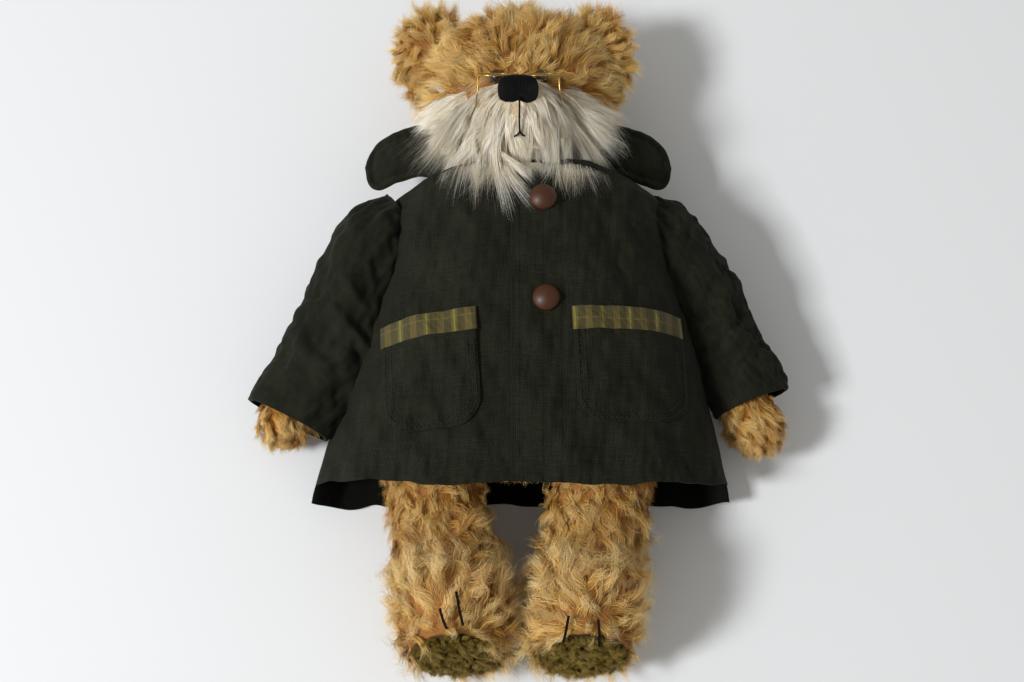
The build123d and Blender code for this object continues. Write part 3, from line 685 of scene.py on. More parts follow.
angle = around(72)
radius = np.concatenate([np.linspace(0.001, 0.9, 14), [0.96, 1.0, 1.0, 0.97]])[None, :]
nx, ny = nose_outline(angle)
ring_number = np.arange(radius.size)
depth = np.where(ring_number < 16, NOSE_CROWN * np.sqrt(np.clip(1 - (radius * 0.93) ** 2.6, 0, 1)), 0)
depth = np.where(ring_number == 16, 0.2, depth)
depth = np.where(ring_number == 17, -2.5, depth)
nose_z = depth + 0 * angle + 0.25 * np.sin(nx * radius * 2 * math.pi / NOSE_THREAD) * (radius < 0.95)
nose_verts = xyz(nx * radius, ny * radius, nose_z)
c, s = math.cos(NOSE_TILT), math.sin(NOSE_TILT)
turn = np.array([[1, 0, 0], [0, c, -s], [0, s, c]])
nose = add_mesh("nose", nose_verts @ turn.T + NOSE_AT, grid_faces(72, radius.size, wrap=True),
                material=black_thread, slot="black_thread")
settle(nose, "head", "nose")


def muzzle_top(x, y, lift):
    """Point above the muzzle at x and y."""
    share = ((x - MUZZLE[0]) / MUZZLE_R[0]) ** 2 + ((y - MUZZLE[1]) / MUZZLE_R[1]) ** 2
    return [x, y, MUZZLE[2] + MUZZLE_R[2] * math.sqrt(max(0.0, 1 - share)) + lift]


stitches = []
for line in (((0.2, 130.5), (0.4, 124), (0.3, 117), (0.6, 112.0)),
             ((0.6, 112.2), (-0.8, 110.9), (-2.8, 110.3)),
             ((0.6, 112.2), (1.9, 110.9), (3.6, 110.5))):
    path = spline_rows([muzzle_top(x, y, 4.6 if y < 129 else 3.0) for x, y in line], 14)
    stitches.append(tube(path, 0.55, sides=8))
mouth = joined("mouth_stitch", stitches, material=black_thread, slot="black_thread")
settle(mouth, "head", "mouth_stitch")

EYE_AT, EYE_RADIUS = np.array([13.5, 154.0, 91.5]), 4.5
for name, side in SIDES:
    skin = egg_skin(EYE_AT * (side, 1, 1), (EYE_RADIUS,) * 3, nu=32, nv=20)
    backing(f"{name}_eye", skin, eye_brown, "eye_glass", "head", f"{name}_eye")

PITCH, TEMPLE_TILT, WIRE_RADIUS = math.radians(60), math.radians(72), 0.55
LENS_AT, RIM_HALF, PANE_HALF = np.array([13.8, 149.5, 104.0]), (10.4, 7.6), (9.8, 7.0)
LENS_N = np.array([0, math.sin(PITCH), math.cos(PITCH)])
LENS_Y = np.array([0, math.cos(PITCH), -math.sin(PITCH)])
rims, panes = [], []
turns = np.linspace(0, 2 * math.pi, 49)
for side in (1, -1):
    centre = LENS_AT * (side, 1, 1)
    ring = centre + xyz(RIM_HALF[0] * np.cos(turns), 0 * turns, 0 * turns)
    ring = ring + RIM_HALF[1] * np.sin(turns)[:, None] * LENS_Y
    rims.append(tube(ring, WIRE_RADIUS, ends=False))
    hinge = centre + np.array([side * RIM_HALF[0], 0, 0])
    back = np.array([0, math.sin(TEMPLE_TILT), math.cos(TEMPLE_TILT)])
    temple = [hinge, hinge - 6 * back, hinge - 12 * back + (side * 0.8, 0, -1),
              hinge - 17 * back + (side * 1.5, 0, -5)]
    rims.append(tube(spline_rows(temple, 16), 0.5))
    r = np.linspace(0.001, 1, 6)[None, :, None]
    disc = xyz(np.cos(turns[:-1]), np.sin(turns[:-1]))[:, None]
    pane = centre + disc[..., :1] * r * (PANE_HALF[0], 0, 0) + disc[..., 1:] * r * PANE_HALF[1] * LENS_Y
    pane = pane + (1 - r**2) * 0.7 * LENS_N
    panes.append((pane, grid_faces(48, 6, wrap=True)))
arc = np.linspace(-1, 1, 15)[:, None]
bridge = LENS_AT * (0, 1, 1) + arc * (3.6, 0, 0) - (1 - arc**2) * 2.6 * LENS_Y
rims.append(tube(bridge, WIRE_RADIUS))
wire = joined("spectacle_frame", rims, material=gilt, slot="gilt_wire")
settle(wire, "head", "spectacle_frame")
glass = joined("spectacle_lenses", panes, material=lens_glass, slot="lens")
settle(glass, "head", "spectacle_lenses")

# ---------------------------------------------------------------- body, arms and legs
# x, y, z, lean outwards, tilt upwards, half width, half depth
ARM_ROWS = (
    (74, 66, 48, 38, 0, 14, 14), (98, 36, 44, 34, 0, 15, 14), (120, 0, 38, 26, 0, 15, 13),
    (134, -28, 33, 22, 0, 15, 13.5), (141, -43, 31, 17, 0, 16, 14.5), (145, -53, 29, 12, 0, 13.5, 12.5),
    (147, -59.5, 28, 12, 0, 8, 8), (147.3, -61.5, 28, 12, 0, 0.4, 0.4),
)
SOLE_TILT, SOLE_HALF, CLAW_RADIUS = math.radians(15), (26, 34.5), 0.75
LEG_ROWS = (
    (52, -24, 46, 0, 0, 15, 15), (52, -34, 46, 0, 0, 25, 26), (51, -60, 46, 0, 0, 28, 29),
    (50, -86, 43, 0, 0, 28, 26.5), (46, -108, 39, 0, 2, 27, 25), (42, -128, 39.5, 0, 4, 27, 27),
    (39, -146, 44, 0, 9, 29.5, 35), (37.5, -160, 46, 0, 13, 30, 37.5), (36.5, -174, 46, 0, 15, 28.5, 37),
    (36, -182.5, 46, 0, 15, 26, 35), (36, -184, 46, 0, 15, 22, 30), (36, -184.6, 46, 0, 15, 0.5, 0.5),
)
torso_skin = egg_skin(np.array([0.0, 16.0, 48.0]), (56.0, 98.0, 37.0), nu=48, nv=32)
backing("torso_backing", torso_skin, golden_skin, "golden_mohair", "torso", "torso_cover", "torso_stuffing")
roots, normals = scatter(torso_skin, TORSO_HAIRS, rng, lambda p: 1.0 * ((p[:, 1] < -30) | (p[:, 1] > 84)))
flow = np.array([0, -1.0, 0]) + 0.45 * drift(roots, 24, 45)
length = np.full(len(roots), TORSO_PILE)
fur("torso_fur", roots, normals, flow, length, golden, "golden_mohair", "torso", 128, **FINE)

for name, side in SIDES:
    arm = f"{name}_arm"
    rows = np.array(ARM_ROWS, float) * (side, 1, 1, side, 1, 1, 1)
    if side == -1:
        rows = rows + (2.0, 5.0, 0, 0, 0, 0, 0)
    skin = limb_skin(rows, lumps=0.8, seed=31 + side)
    backing(f"{arm}_backing", skin, golden_skin, "golden_mohair", arm, f"{arm}_cover", f"{arm}_stuffing")
    roots, normals = scatter(skin, ARM_HAIRS, rng, lambda p: 1.0 * (p[:, 1] < -32))
    along = np.array([side * math.sin(0.25), -math.cos(0.25), 0])
    flow = along + 0.25 * normals + 0.45 * drift(roots, 20, 41)
    length = ARM_PILE * (1 + 0.15 * noise(roots, 20, 9)) * (0.45 + 0.55 * smooth((-34 - roots[:, 1]) / 12))
    fur(f"{arm}_fur", roots, normals, flow, length, golden, "golden_mohair", arm, 120 + side, **FINE)

    leg = f"{name}_leg"
    rows = np.array(LEG_ROWS, float) * (side, 1, 1, 1, 1, 1, 1)
    skin = limb_skin(rows, nu=56, nv=90, lumps=1.4, seed=35 + side)
    backing(f"{leg}_backing", skin, golden_skin, "golden_mohair", leg, f"{leg}_cover", f"{leg}_stuffing")
    sole_n = np.array([0, -math.cos(SOLE_TILT), math.sin(SOLE_TILT)])
    sole_c = np.array([side * 36.0, -184.0, 46.0])

    def leg_keep(p, n=sole_n, c=sole_c):
        shown = 0.6 + 0.4 * smooth((-40 - p[:, 1]) / 30)
        return shown * ((p - c) @ n < -1.0) * np.where(p[:, 2] > 25, 1.0, 0.5)

    roots, normals = scatter(skin, LEG_HAIRS, rng, leg_keep)
    toes = np.array([side * 38.0, -170.0, 60.0])
    out = unit((roots - toes) * (1.0, 1.0, 0.5))
    foot = smooth((-130 - roots[:, 1]) / 14)[:, None] * smooth((roots[:, 2] - 28) / 20)[:, None]
    flow = np.array([0, -1.0, 0]) * (1 - foot) + foot * out
    flow = flow + 0.35 * drift(roots, 26, 51)
    length = (LEG_PILE + 4.0 * foot[:, 0]) * (1 + 0.15 * noise(roots, 22, 10))
    toe = smooth(1.6 - np.linalg.norm((roots - toes)[:, :2] / (16, 13), axis=1)) * (roots[:, 2] > 60)
    covered = smooth((roots[:, 1] + 99) / 10)
    length = length * (1 - 0.5 * toe) * (1 - 0.5 * covered)
    fair = roots[:, 1] + 4 * noise(roots, 14, 54) < -137
    style = {**FINE, "lock_size": 5.0, "curl": 0.2, "turns": 1.3, "clump": 0.5}
    for piece, chosen, finish in (("fur", ~fair, golden), ("toe_fur", fair, blond)):
        fur(f"{leg}_{piece}", roots[chosen], normals[chosen], flow[chosen], length[chosen], finish,
            "golden_mohair", leg, 130 + side, **style)

    # sole: an olive plush pad with its seam in the long fur
    u = around(64)
    v = np.linspace(0.001, 1, 14)[None, :]
    sole_y = np.cross(sole_n, [1.0, 0, 0])
    pad = (sole_c + (np.cos(u) * v * SOLE_HALF[0])[..., None] * (1.0, 0, 0)
           + (np.sin(u) * v * SOLE_HALF[1])[..., None] * sole_y
           + (1.2 + 2.2 * (1 - v**4) + 0 * u)[..., None] * sole_n)
    faces = grid_faces(64, 14, wrap=True)
    pad_ob = add_mesh(f"{name}_foot_pad", pad, faces, material=olive_skin, slot="sole_felt")
    settle(pad_ob, leg, f"{name}_foot_pad")
    roots, normals = scatter((pad, np.broadcast_to(sole_n, pad.shape), faces), SOLE_HAIRS, rng)
    flow = 0.8 * rng.normal(size=roots.shape) + np.array([0, 0, 0.4])
    fur(f"{name}_foot_plush", roots, normals, flow, np.full(len(roots), SOLE_PILE), olive, "sole_felt", leg,
        140 + side, lock_size=3.2, lift=0.6, curl=0.22, turns=0.9, clump=0.4, width=0.26, segments=4)

    # claws: two long black stitches over the toes
    lines = {
        1: (((27.0, -166), (25.8, -173), (24.2, -180)), ((43.2, -168), (43.8, -175), (43.6, -182))),
        -1: (((-34.6, -153), (-33, -162), (-30.8, -171)), ((-43.6, -162), (-41.8, -168), (-39.6, -173))),
    }[side]
    threads = []
    for line in lines:
        path = []
        for x, y in line:
            z = 45.5 + 37 * math.sqrt(1 - ((x - side * 37) / 30) ** 2) - max(0.0, (-164 - y) * 0.3) + 7.5
            path.append([x, y, z])
        threads.append(tube(spline_rows(path, 14), CLAW_RADIUS))
    claws = joined(f"{name}_foot_claws", threads, material=black_thread, slot="black_thread")
    settle(claws, leg, f"{name}_foot_claws")

    # paw pad under the paw
    c = np.array([side * 143.5, -46.0, 14.8])
    skin = egg_skin(c, (11.0, 14.0, 2.4), nu=32, nv=16)
    backing(f"{name}_paw_pad", skin, olive_skin, "paw_felt", arm, f"{name}_paw_pad")
    roots, normals = scatter(skin, PAW_HAIRS, rng)
    flow, length = 0.8 * rng.normal(size=roots.shape), np.full(len(roots), PAW_PILE)
    fur(f"{name}_paw_plush", roots, normals, flow, length, tan_pad, "paw_felt", arm, 150 + side,
        lock_size=2.2, lift=0.6, clump=0.5, width=0.32, segments=3)

# ---------------------------------------------------------------- coat
HEM_Y, HEM_BACK_Y, NECK_TOP_Y = -93.0, -94.0, 102.0
SEAM_Z = 19.0
HEIGHTS_Y = (-100, -88, -50, -10, 40, 80, 96, 108)


def half_width(y, side=-1.0):
    """Half width of the coat's body at y; its own left side is fuller than its right."""
    extra = np.interp(y, [-100, -40, 0, 40, 108], [2.0, 6.0, 9.0, 9.0, 7.0])
    right = np.interp(y, [-100, -88, -60, -40, 0, 40, 80, 108], [127, 125, 118, 112, 103, 94, 89, 86])
    return right + np.where(np.asarray(side) > 0, extra, 0.0)


def crown(y):
    """Height of the coat's front at its centre line."""
    return np.interp(y, HEIGHTS_Y, [82, 85, 95, 102, 103, 98, 91, 82])


def top_line(x):
    """Upper edge of the coat: the neckline and the sloping shoulders."""
    return NECK_TOP_Y - 17.0 * smooth((np.abs(x) - 22) / 66) ** 1.2


def front_height(x, y):
    """Height of the smooth front at x and y."""
    share = np.clip(np.abs(x) / half_width(y, x), 0, 1)
    left = np.clip(1 - share**3.4, 0, 1) ** 0.62
    right = np.clip(1 - share**2.7, 0, 1) ** 0.68
    blend = smooth((x + 20) / 40)
    return SEAM_Z + (crown(y) - SEAM_Z) * (right + (left - right) * blend)


def folds(x, y):
    """Soft folds: flutes at the hem, pulls from the armholes and buttons, and broad hollows."""
    p = xyz(x, y)
    low = smooth((-20 - y) / 70)
    side = smooth((np.abs(x) - 30) / 50)
    flutes = np.sin(x / 9.5 + 1.3 * noise(p, 90, 61) + 0.012 * y) * (0.5 + 0.8 * side) * low
    pull = np.sin((y - 0.55 * np.abs(x)) / 6.5 + 2.0 * noise(p, 60, 62)) * side * smooth((y - 25) / 40)
    creases = noise(p * (1.0, 0.45), 34, 63, 3) * 1.5 + noise(p * (0.5, 1.0), 26, 64, 2) * 0.9
    edge = bell((x - PLACKET_EDGE) / 20)
    return 2.3 * flutes + 1.0 * pull + creases * (1 - 0.45 * edge)


PLACKET_EDGE = -4.5
LEFT_LIFT, RIGHT_LIFT = 2.6, 0.0  # the left front laps over the right
STITCH_LINES, HEM_STITCHES = (6.0, 19.5), (14, 22)


def pucker(distance, along, wave=5.0):
    """Small gathers beside a seam, fading with distance from it."""
    return bell(distance / 3.2) * np.sin(along * 2 * math.pi / wave)


def coat_front(x, y, lift=0.0):
    """Height of the finished front cloth."""
    z = front_height(x, y) + folds(x, y)
    z = z + 0.3 * pucker(y - HEM_Y - 13, x, 6.1) + 0.28 * pucker(y - HEM_Y - 2, x, 5.3)
    for line in HEM_STITCHES:
        z = z - 0.5 * bell((y - HEM_Y - line) / 1.3)
    for line in (2.0, *STITCH_LINES, 30.0):
        z = z - 0.55 * bell((x - PLACKET_EDGE - line) / 1.2)
    return z + lift


def over_coat(x, y):
    """Height above which loose hair lies: the coat where it is, the table elsewhere."""
    on_coat = smooth((top_line(x) + 1 - y) / 6) * (np.abs(x) < half_width(y, x) - 2)
    return np.where(on_coat > 0, 60 + (coat_front(x, y, 4.2) - 60) * on_coat, 0.5)


fur("beard", beard_roots, beard_normals, beard_flow, beard_length, cream, "cream_mohair", "head", 111,
    lock_size=5.2, lift=0.14, curl=0.1, turns=0.8, clump=0.34, width=0.22, segments=9,
    stray=0.07, droop=(0, -0.42, -0.14), floor=over_coat, mess=0.2, uneven=0.05)


def panel(x_share, y_low, columns, rows, lift, seed, edge=None):
    """One front panel between two shares of the coat's half width."""
    s = np.linspace(*x_share, columns)[:, None]
    v = np.linspace(0, 1, rows)[None, :]
    a = s * math.pi / 2
    rough_x = np.sin(a) * 100.0
    top = top_line(rough_x * 0.88)
    y_low = y_low + 9.0 * np.abs(rough_x / 100) ** 3
    y = y_low + (top - y_low) * v
    w = half_width(y, s)
    x = w * np.sin(a)
    if edge is not None:
        x = edge + (x - x[:1]) * (x[-1:] - edge) / (x[-1:] - x[:1])
    y = y + 1.4 * noise(xyz(x, 0 * x + seed), 70, 70) * (1 - v) ** 4
    z = coat_front(x, y, lift)
    return x + 0 * v, y + 0 * s, z


def cloth(name, x, y, z, material, slot, uv=None, thickness=1.6):
    """A cloth sheet with thickness from a grid of points, and its millimetre map."""
    verts = xyz(x, y, z)
    if uv is None:
        across = np.cumsum(np.linalg.norm(np.diff(verts, axis=0, prepend=verts[:1]), axis=-1), 0)
        up = np.cumsum(np.linalg.norm(np.diff(verts, axis=1, prepend=verts[:, :1]), axis=-1), 1)
        uv = xyz(across, up)
    faces = grid_faces(*verts.shape[:2])
    ob = add_mesh(name, verts, faces, uv={"cloth": uv}, material=material, slot=slot)
    ob.data.materials.append(lining)
    solid = ob.modifiers.new("Solidify", "SOLIDIFY")
    solid.thickness, solid.offset, solid.material_offset = thickness * MM, -1.0, 1
    solid.use_even_offset, solid.thickness_clamp = True, 1.0
    return applied(ob)


def weights(ob, value):
    """Works out a piece's share of its second body, point by point; the share is not stored."""
    co = np.empty(len(ob.data.vertices) * 3, np.float32)
    ob.data.vertices.foreach_get("co", co)
    share = value(co.reshape(-1, 3) / MM)


def leg_share(p, side):
    """How far cloth at p follows the leg on that side."""
    return smooth((-22 - p[:, 1]) / 48) * smooth((p[:, 2] - 28) / 26) * smooth((p[:, 0] * side + 2) / 22)


def drape(ob, side, *nodes):
    """Bakes a cloth piece over a thigh into place and hides the CAD nodes that it shows; its share of that
    leg is worked out but not stored.
    """
    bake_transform(ob)
    weights(ob, lambda p: leg_share(p, side))
    if nodes:
        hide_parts(*nodes)


PANEL_COLUMNS, PANEL_ROWS = 190, 210
x, y, z = panel((-0.03, 1.0), HEM_Y, PANEL_COLUMNS, PANEL_ROWS, LEFT_LIFT, 3, edge=PLACKET_EDGE)
left_front = cloth("coat_left_front", x, y, z, coat_cloth, "coat_cloth", thickness=2.2)
drape(left_front, 1, "coat_left_front")

x, y, z = panel((-1.0, 0.14), HEM_Y + 1.0, PANEL_COLUMNS, PANEL_ROWS, RIGHT_LIFT, 5)
right_front = cloth("coat_right_front", x, y, z, coat_cloth, "coat_cloth", thickness=1.8)
drape(right_front, -1, "coat_right_front")

# back: flat on the table, its sides turned up to meet the fronts
s = np.linspace(-1, 1, 150)[:, None]
v = np.linspace(0, 1, 150)[None, :]
back_top = top_line(s * 90) + 6 - 9 * smooth(np.abs(s) / 0.3)
y = HEM_BACK_Y + (back_top - HEM_BACK_Y) * v
y = y + 1.5 * noise(xyz(s * 120 + 0 * v, 0 * s + v), 60, 71) * (1 - v) ** 3
w = half_width(y, s)
x = s * w
rise = smooth((np.abs(s) - 0.86) / 0.14)
ripple = 0.5 + 0.5 * np.sin(x / 10.0 + 1.5 * noise(xyz(x, y), 80, 72))
z = 1.9 + rise * (SEAM_Z - 2) + 3.2 * ripple * smooth((-62 - y) / 34) + 0.5 * ripple
z = z + 5.0 * smooth((y - 80) / 24)
back = cloth("coat_back", x, y, z, lining, "coat_cloth", thickness=1.7)
back.data.materials[1] = coat_cloth
settle(back, "torso", "coat_back")

# shoulders: the cloth rolls from the top of the fronts over to the back
for name, ends in (("left", (0.17, 1.0)), ("right", (-1.0, -0.17))):
    s = np.linspace(*ends, 90)[:, None]
    v = np.linspace(0, 1, 46)[None, :]
    across = np.sin(s * math.pi / 2)
    front_y = top_line(across * 88)
    x = half_width(front_y, s) * across
    back_y = top_line(across * 90) - 3
    front_z = coat_front(x, front_y) - 0.8
    back_z = 2.2 + smooth((np.abs(across) - 0.86) / 0.14) * (SEAM_Z - 2) + 5.0 * smooth((back_y - 80) / 24)
    roll = np.sin(math.pi * v) ** 0.7 * (1 - np.abs(across) ** 6)
    x = x + 0 * v
    z = front_z + (back_z - front_z) * v
    y = front_y - 1.5 + (back_y - front_y) * v + roll * (9.0 + 1.2 * noise(xyz(x, z), 26, 93))
    yoke = cloth(f"{name}_shoulder", x, y, z, coat_cloth, "coat_cloth", thickness=1.6)
    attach(yoke, "torso")

# ---------------------------------------------------------------- sleeves
SLEEVES = {
    1: ((76, 78, 44, 60, 0, 18, 20), (88, 67, 44, 48, 0, 22, 24), (99, 50, 44, 36, 0, 25, 24),
        (110, 28, 41, 29, 0, 27, 23), (121, 4, 37, 25, 0, 27.5, 21.5), (132, -16, 34, 23, 0, 26, 20),
        (142, -35, 32, 22, 0, 24, 20)),
    -1: ((-72, 78, 48, -58, 0, 18, 20), (-83, 67, 49, -46, 0, 22, 25), (-95, 46, 49, -35, 0, 26, 26),
         (-104, 21, 45, -30, 0, 29, 25.5), (-113, -6, 40, -28, 0, 32, 23.5),
         (-126, -26, 35.5, -28, 0, 30.5, 22), (-140, -45, 32, -27, 0, 27.5, 20.5)),
}


def arm_share(p, side):
    """How far cloth at p follows the arm on that side."""
    return smooth(((p[:, 0] * side - 60) * 0.62 - (p[:, 1] - 88) * 0.78 - 4) / 26)


SLEEVE_LENGTH, GATHERS_AT, FULLEST_AT, ELBOW_AT, CUFF_AT = 150.0, 26, 34, 88, 137
CUFF_ROWS, CUFF_CLOTH, SLEEVE_LOWEST = 26, 2.6, 1.2
count_u, count_v = 150, 170
for name, side in SIDES:
    rows = spline_rows(np.array(SLEEVES[side], float), count_v)
    lean = np.radians(rows[:, 3])
    along = xyz(np.sin(lean), -np.cos(lean), 0 * lean)
    across = unit(np.cross(UP, along))
    u = around(count_u)
    v = np.linspace(0, 1, count_v)[None, :]
    run = SLEEVE_LENGTH * v
    gathers = bell((run - GATHERS_AT) / 15) * (0.9 * np.sin(u * 17 + 2 * np.sin(3 * u)))
    gathers = gathers + 1.6 * bell((run - FULLEST_AT) / 16)
    elbow = bell((run - ELBOW_AT) / 30)
    q = xyz(30 * np.cos(u) + 0 * v, 30 * np.sin(u) + 0 * v, run + 0 * u)
    rings = np.sin(run / 3.4 + 2.2 * noise(q, 55, 81 + side) + 1.2 * np.sin(u + side)) * elbow
    soft = noise(q * (1, 1, 0.7), 30, 85 + side) * 1.6 + noise(q, 13, 87 + side, 2) * 0.45
    strength = 1.9 if side == -1 else 1.3
    cuff = 0.5 * bell((run - CUFF_AT) / 2.2) - 0.3 * pucker(run - CUFF_AT, u * 24, 6.0)
    swell = gathers + strength * rings * (0.6 + 0.4 * np.cos(u - 1.2))
    swell = swell + soft * smooth(1 - (run - 120) / 60) - cuff
    half, depth = rows[None, :, 5] + swell, rows[None, :, 6] + swell
    ring = (np.cos(u) * half)[..., None] * across + (np.sin(u) * depth)[..., None] * UP
    verts = rows[None, :, :3] + ring
    verts[..., 2] = np.maximum(verts[..., 2], SLEEVE_LOWEST + 0.3 * np.sin(verts[..., 1] / 7))
    # the cuff's edge rolls in, so that it shows its thickness and lining
    inner = rows[None, :, :3] + ring * (1 - CUFF_CLOTH / half[..., None])
    inner = inner[:, ::-1][:, :CUFF_ROWS]
    inner[..., 2] = np.maximum(inner[..., 2], 2.8)
    full = np.concatenate([verts, inner], 1)
    nv = full.shape[1]
    closed = np.concatenate([full, full[:1]], 0)
    arc = np.cumsum(np.linalg.norm(np.diff(closed, axis=0, prepend=closed[:1]), axis=-1), 0)
    down = np.cumsum(np.linalg.norm(np.diff(closed, axis=1, prepend=closed[:, :1]), axis=-1), 1)
    ob = add_mesh(f"{name}_sleeve", closed, grid_faces(count_u + 1, nv), material=coat_cloth,
                  slot="coat_cloth", uv={"cloth": xyz(arc, down)})
    ob.data.materials.append(lining)
    index = np.tile(np.arange(nv - 1) >= count_v, count_u).astype(np.int32)
    ob.data.polygons.foreach_set("material_index", index)
    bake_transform(ob)
    weights(ob, lambda p: arm_share(p, side))
    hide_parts(f"{name}_sleeve")

# ---------------------------------------------------------------- collar
u = np.linspace(-1, 1, 240)[:, None]
v = np.linspace(-1, 1, 44)[None, :]
reach, rounding = 97.0, 15
end = np.clip((np.abs(u) * reach - (reach - rounding)) / rounding, 0, 1)
end = np.sqrt(np.clip(1 - end**2.4, 0.0, 1))
half = (11.5 + 6.0 * smooth((np.abs(u) - 0.25) / 0.4)) * np.maximum(end, 0.02)
x = u * reach + 0 * v
y = 118.0 + 4.0 * smooth((np.abs(u) - 0.3) / 0.4) - 6.0 * smooth((np.abs(u) - 0.6) / 0.4) + v * half
z = np.interp(np.abs(u) * reach, (0, 12, 30, 45, 62, 80, 97), (7, 9, 34, 52, 53, 46, 40))
z = z + 4.5 * (1 - (v * 0.9) ** 2) * smooth(np.abs(u) / 0.4) - 5.0 * smooth((np.abs(u) - 0.8) / 0.2)
z = z + 0.9 * noise(xyz(x, y), 32, 91) + 0.25 * pucker(np.abs(v) * half - (half - 5), x, 5.6)
rim = np.minimum(half * (1 - np.abs(v)), reach * (1 - np.abs(u)) + 0 * v)
z = z + 1.3 * bell((rim - 2.0) / 1.8) - 0.9 * bell((rim - 5.4) / 1.1)
collar = cloth("coat_collar", x, y, z, coat_cloth, "coat_cloth", thickness=3.2)
settle(collar, "torso", "coat_collar")

# ---------------------------------------------------------------- pockets, trims and buttons
def patch(name, centre, low, high, width, round_low, lift, material, slot, turn=0.0, rows=60, columns=70):
    """A piece sewn on the front: a rectangle with rounded lower corners, laid on the cloth."""
    a = np.linspace(-1, 1, columns)[:, None]
    b = np.linspace(0, 1, rows)[None, :]
    t = low + (high - low) * b
    if round_low:
        below = np.clip(low + round_low - t, 0, round_low)
        inset = round_low - np.sqrt(np.clip(round_low**2 - below**2, 0, None))
    else:
        inset = 0 * t
    s = a * (width / 2 - inset)
    x = centre + s * math.cos(turn) - t * math.sin(turn)
    y = s * math.sin(turn) + t * math.cos(turn)
    rim = np.minimum(np.minimum(width / 2 - inset - np.abs(s), t - low), high - t + 0 * s)
    z = coat_front(x, y) + lift - 0.9 * np.exp(-rim / 1.6) + 0.22 * pucker(rim - 4.0, x + y, 5.2)
    return cloth(name, x, y, z, material, slot, xyz(s + 0 * t, t + 0 * s), PATCH_CLOTH)


PATCH_CLOTH, POCKET_CORNER, TRIM_HEIGHT = 1.3, 17.0, 13.5
POCKETS = {
    "left": dict(centre=63.5, low=-58.0, high=-6.0, width=66.0, turn=0.05, lift=4.4),
    "right": dict(centre=-53.0, low=-62.0, high=-9.0, width=57.0, turn=0.07, lift=2.2),
}
for name, side in SIDES:
    k = POCKETS[name]
    ob = patch(f"{name}_pocket", k["centre"], k["low"], k["high"] + 2, k["width"], POCKET_CORNER,
               k["lift"], coat_cloth, "coat_cloth", k["turn"])
    drape(ob, side, f"{name}_pocket")
    ob = patch(f"{name}_pocket_trim", k["centre"], k["high"], k["high"] + TRIM_HEIGHT, k["width"] + 0.6,
               0.0, k["lift"] + 0.7, plaid, "plaid", k["turn"], rows=30)
    drape(ob, side, f"{name}_pocket_trim")

BUTTON_RADIUS, BUTTON_SLOPE, BUTTONS_AT = 7.9, -0.02, ((14.0, 72.0), (15.5, 11.0))
parts = []
for x0, y0 in BUTTONS_AT:
    u = around(48)
    r = np.array([0.001, 0.2, 0.4, 0.6, 0.75, 0.87, 0.95, 1.0, 1.0, 0.96, 0.8])[None, :]
    h = np.array([4.6, 4.5, 4.1, 3.4, 2.7, 1.9, 1.2, 0.4, -0.6, -1.2, -1.4])[None, :]
    base = float(coat_front(np.array(x0), np.array(y0))) + 4.2
    across, up = BUTTON_RADIUS * r * np.cos(u), BUTTON_RADIUS * r * np.sin(u)
    verts = xyz(x0 + across, y0 + up, base + h + BUTTON_SLOPE * up)
    parts.append((verts, grid_faces(48, r.size, wrap=True)))
buttons = joined("coat_buttons", parts, material=horn, slot="button")
settle(buttons, "torso", "coat_buttons")


# ---------------------------------------------------------------- topstitching
STITCH_PITCH, STITCH_RADIUS, STITCH_RISE = 2.9, 0.3, 0.15


def stitched(name, lines, side):
    """Dashes of thread along lines of points that already lie on the cloth."""
    parts = []
    for line in lines:
        line = np.asarray(line, float)
        run = np.concatenate([[0], np.cumsum(np.linalg.norm(np.diff(line, axis=0), axis=1))])
        for start in np.arange(0, run[-1] - STITCH_PITCH, STITCH_PITCH):
            at = np.linspace(start, start + STITCH_PITCH * 0.66, 5)
            p = np.stack([np.interp(at, run, line[:, i]) for i in range(3)], -1)
            p[[0, -1], 2] -= 0.35
            parts.append(tube(p, STITCH_RADIUS, sides=5))
    drape(joined(name, parts, material=coat_thread, slot="coat_cloth"), side)


def on_front(x, y, lift):
    """Line on the front cloth from arrays of x and y."""
    x, y = np.broadcast_arrays(np.asarray(x, float), np.asarray(y, float))
    return xyz(x, y, coat_front(x, y, lift))


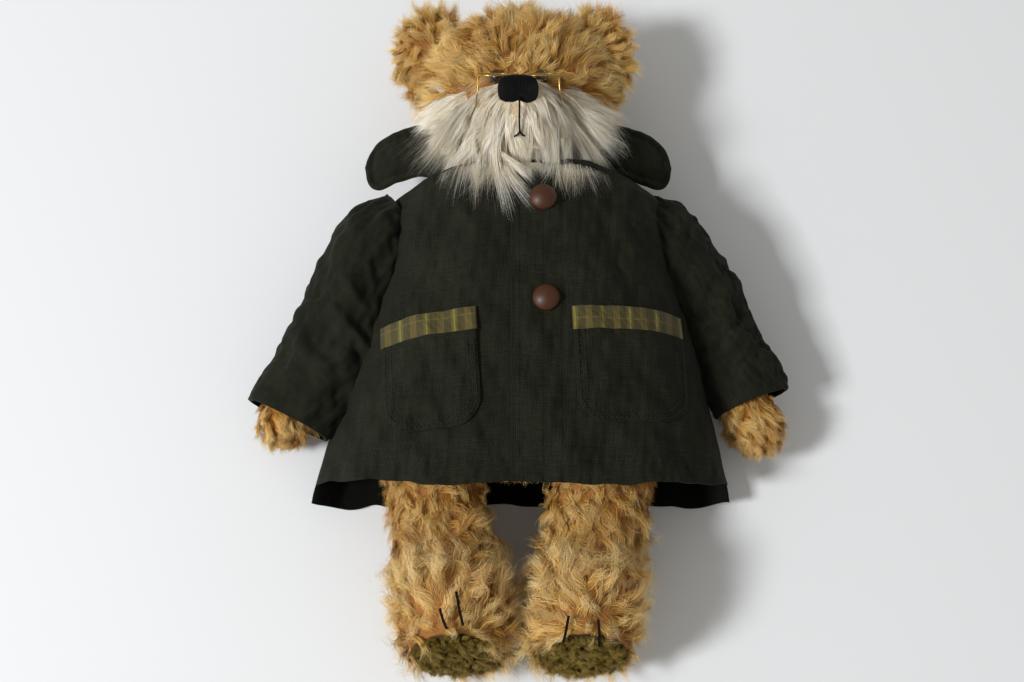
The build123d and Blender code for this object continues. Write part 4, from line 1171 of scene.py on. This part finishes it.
span = np.linspace(HEM_Y + 3, 100, 160)
left_lines = [on_front(PLACKET_EDGE + d, span, LEFT_LIFT + STITCH_RISE) for d in (2.0, *STITCH_LINES, 30.0)]
across = np.linspace(PLACKET_EDGE + 2, 112, 120)
left_lines += [on_front(across, HEM_Y + d + 0 * across, LEFT_LIFT + STITCH_RISE) for d in HEM_STITCHES]
stitched("left_front_stitching", left_lines, 1)
across = np.linspace(-112, PLACKET_EDGE - 2, 120)
right_lines = [on_front(across, HEM_Y + d + 0 * across, RIGHT_LIFT + STITCH_RISE) for d in HEM_STITCHES]
stitched("right_front_stitching", right_lines, -1)
for name, side in SIDES:
    k = POCKETS[name]
    lines = []
    for inset in (2.2, 6.0):
        low, half, r = k["low"] + inset, k["width"] / 2 - inset, POCKET_CORNER - inset
        t = np.linspace(0, math.pi / 2, 14)
        s = np.concatenate([[-half], -half + r - r * np.cos(t), half - r + r * np.sin(t), [half]])
        q = np.concatenate([[k["high"]], low + r - r * np.sin(t), low + r - r * np.cos(t), [k["high"]]])
        fine = np.linspace(0, len(s) - 1, 160)
        s, q = np.interp(fine, np.arange(len(s)), s), np.interp(fine, np.arange(len(q)), q)
        turn = k["turn"]
        px = k["centre"] + s * math.cos(turn) - q * math.sin(turn)
        py = s * math.sin(turn) + q * math.cos(turn)
        lines.append(on_front(px, py, k["lift"] + 0.25))
    stitched(f"{name}_pocket_stitching", lines, side)

# ---------------------------------------------------------------- table, light and camera
FLOOR_HALF = 2500
corners = [[x * FLOOR_HALF, y * FLOOR_HALF, 0] for x, y in ((-1, -1), (1, -1), (1, 1), (-1, 1))]
floor = add_mesh("table", corners, np.array([[0, 1, 2, 3]]))
white = Nodes("table_white")
white.set(Base_Color=(0.86, 0.88, 0.9), Roughness=0.6)
white.set(Specular_IOR_Level=0.2)
floor.data.materials.append(white.material)
floor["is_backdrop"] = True

bpy.context.scene.view_settings.view_transform = "Standard"
world = bpy.data.worlds.new("studio")
bpy.context.scene.world = world
world.use_nodes = True
world.node_tree.nodes["Background"].inputs["Color"].default_value = (1.0, 0.985, 0.94, 1)
world.node_tree.nodes["Background"].inputs["Strength"].default_value = 0.37


def area(name, at, aim, size, power, colour):
    """A soft lamp at a point in metres, turned to its aim."""
    lamp = bpy.data.lights.new(name, "AREA")
    lamp.size, lamp.energy, lamp.color = size, power, colour
    ob = bpy.data.objects.new(name, lamp)
    ob.location = at
    ob.rotation_euler = (Vector(aim) - Vector(at)).to_track_quat("-Z", "Y").to_euler()
    bpy.context.scene.collection.objects.link(ob)
    ob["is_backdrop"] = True


area("key", at=(-2.28, -0.72, 2.4), aim=(0, 0, 0.05), size=0.66, power=92.0, colour=(0.985, 0.99, 1.0))

LENS, SENSOR, ELEVATION, DISTANCE, AIM = 49.46, 36.0, math.radians(75), 0.85, Vector((-0.004, 0.0, 0.05))
camera = bpy.data.cameras.new("camera")
camera.lens, camera.sensor_width = LENS, SENSOR
camera_ob = bpy.data.objects.new("camera", camera)
camera_ob.location = AIM + DISTANCE * Vector((0, -math.cos(ELEVATION), math.sin(ELEVATION)))
camera_ob.rotation_euler = (AIM - camera_ob.location).to_track_quat("-Z", "Y").to_euler()
bpy.context.scene.collection.objects.link(camera_ob)
bpy.context.scene.camera = camera_ob

corners = {"cad": [list(c) for c in cad_box], "visual": [list(c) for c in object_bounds()]}
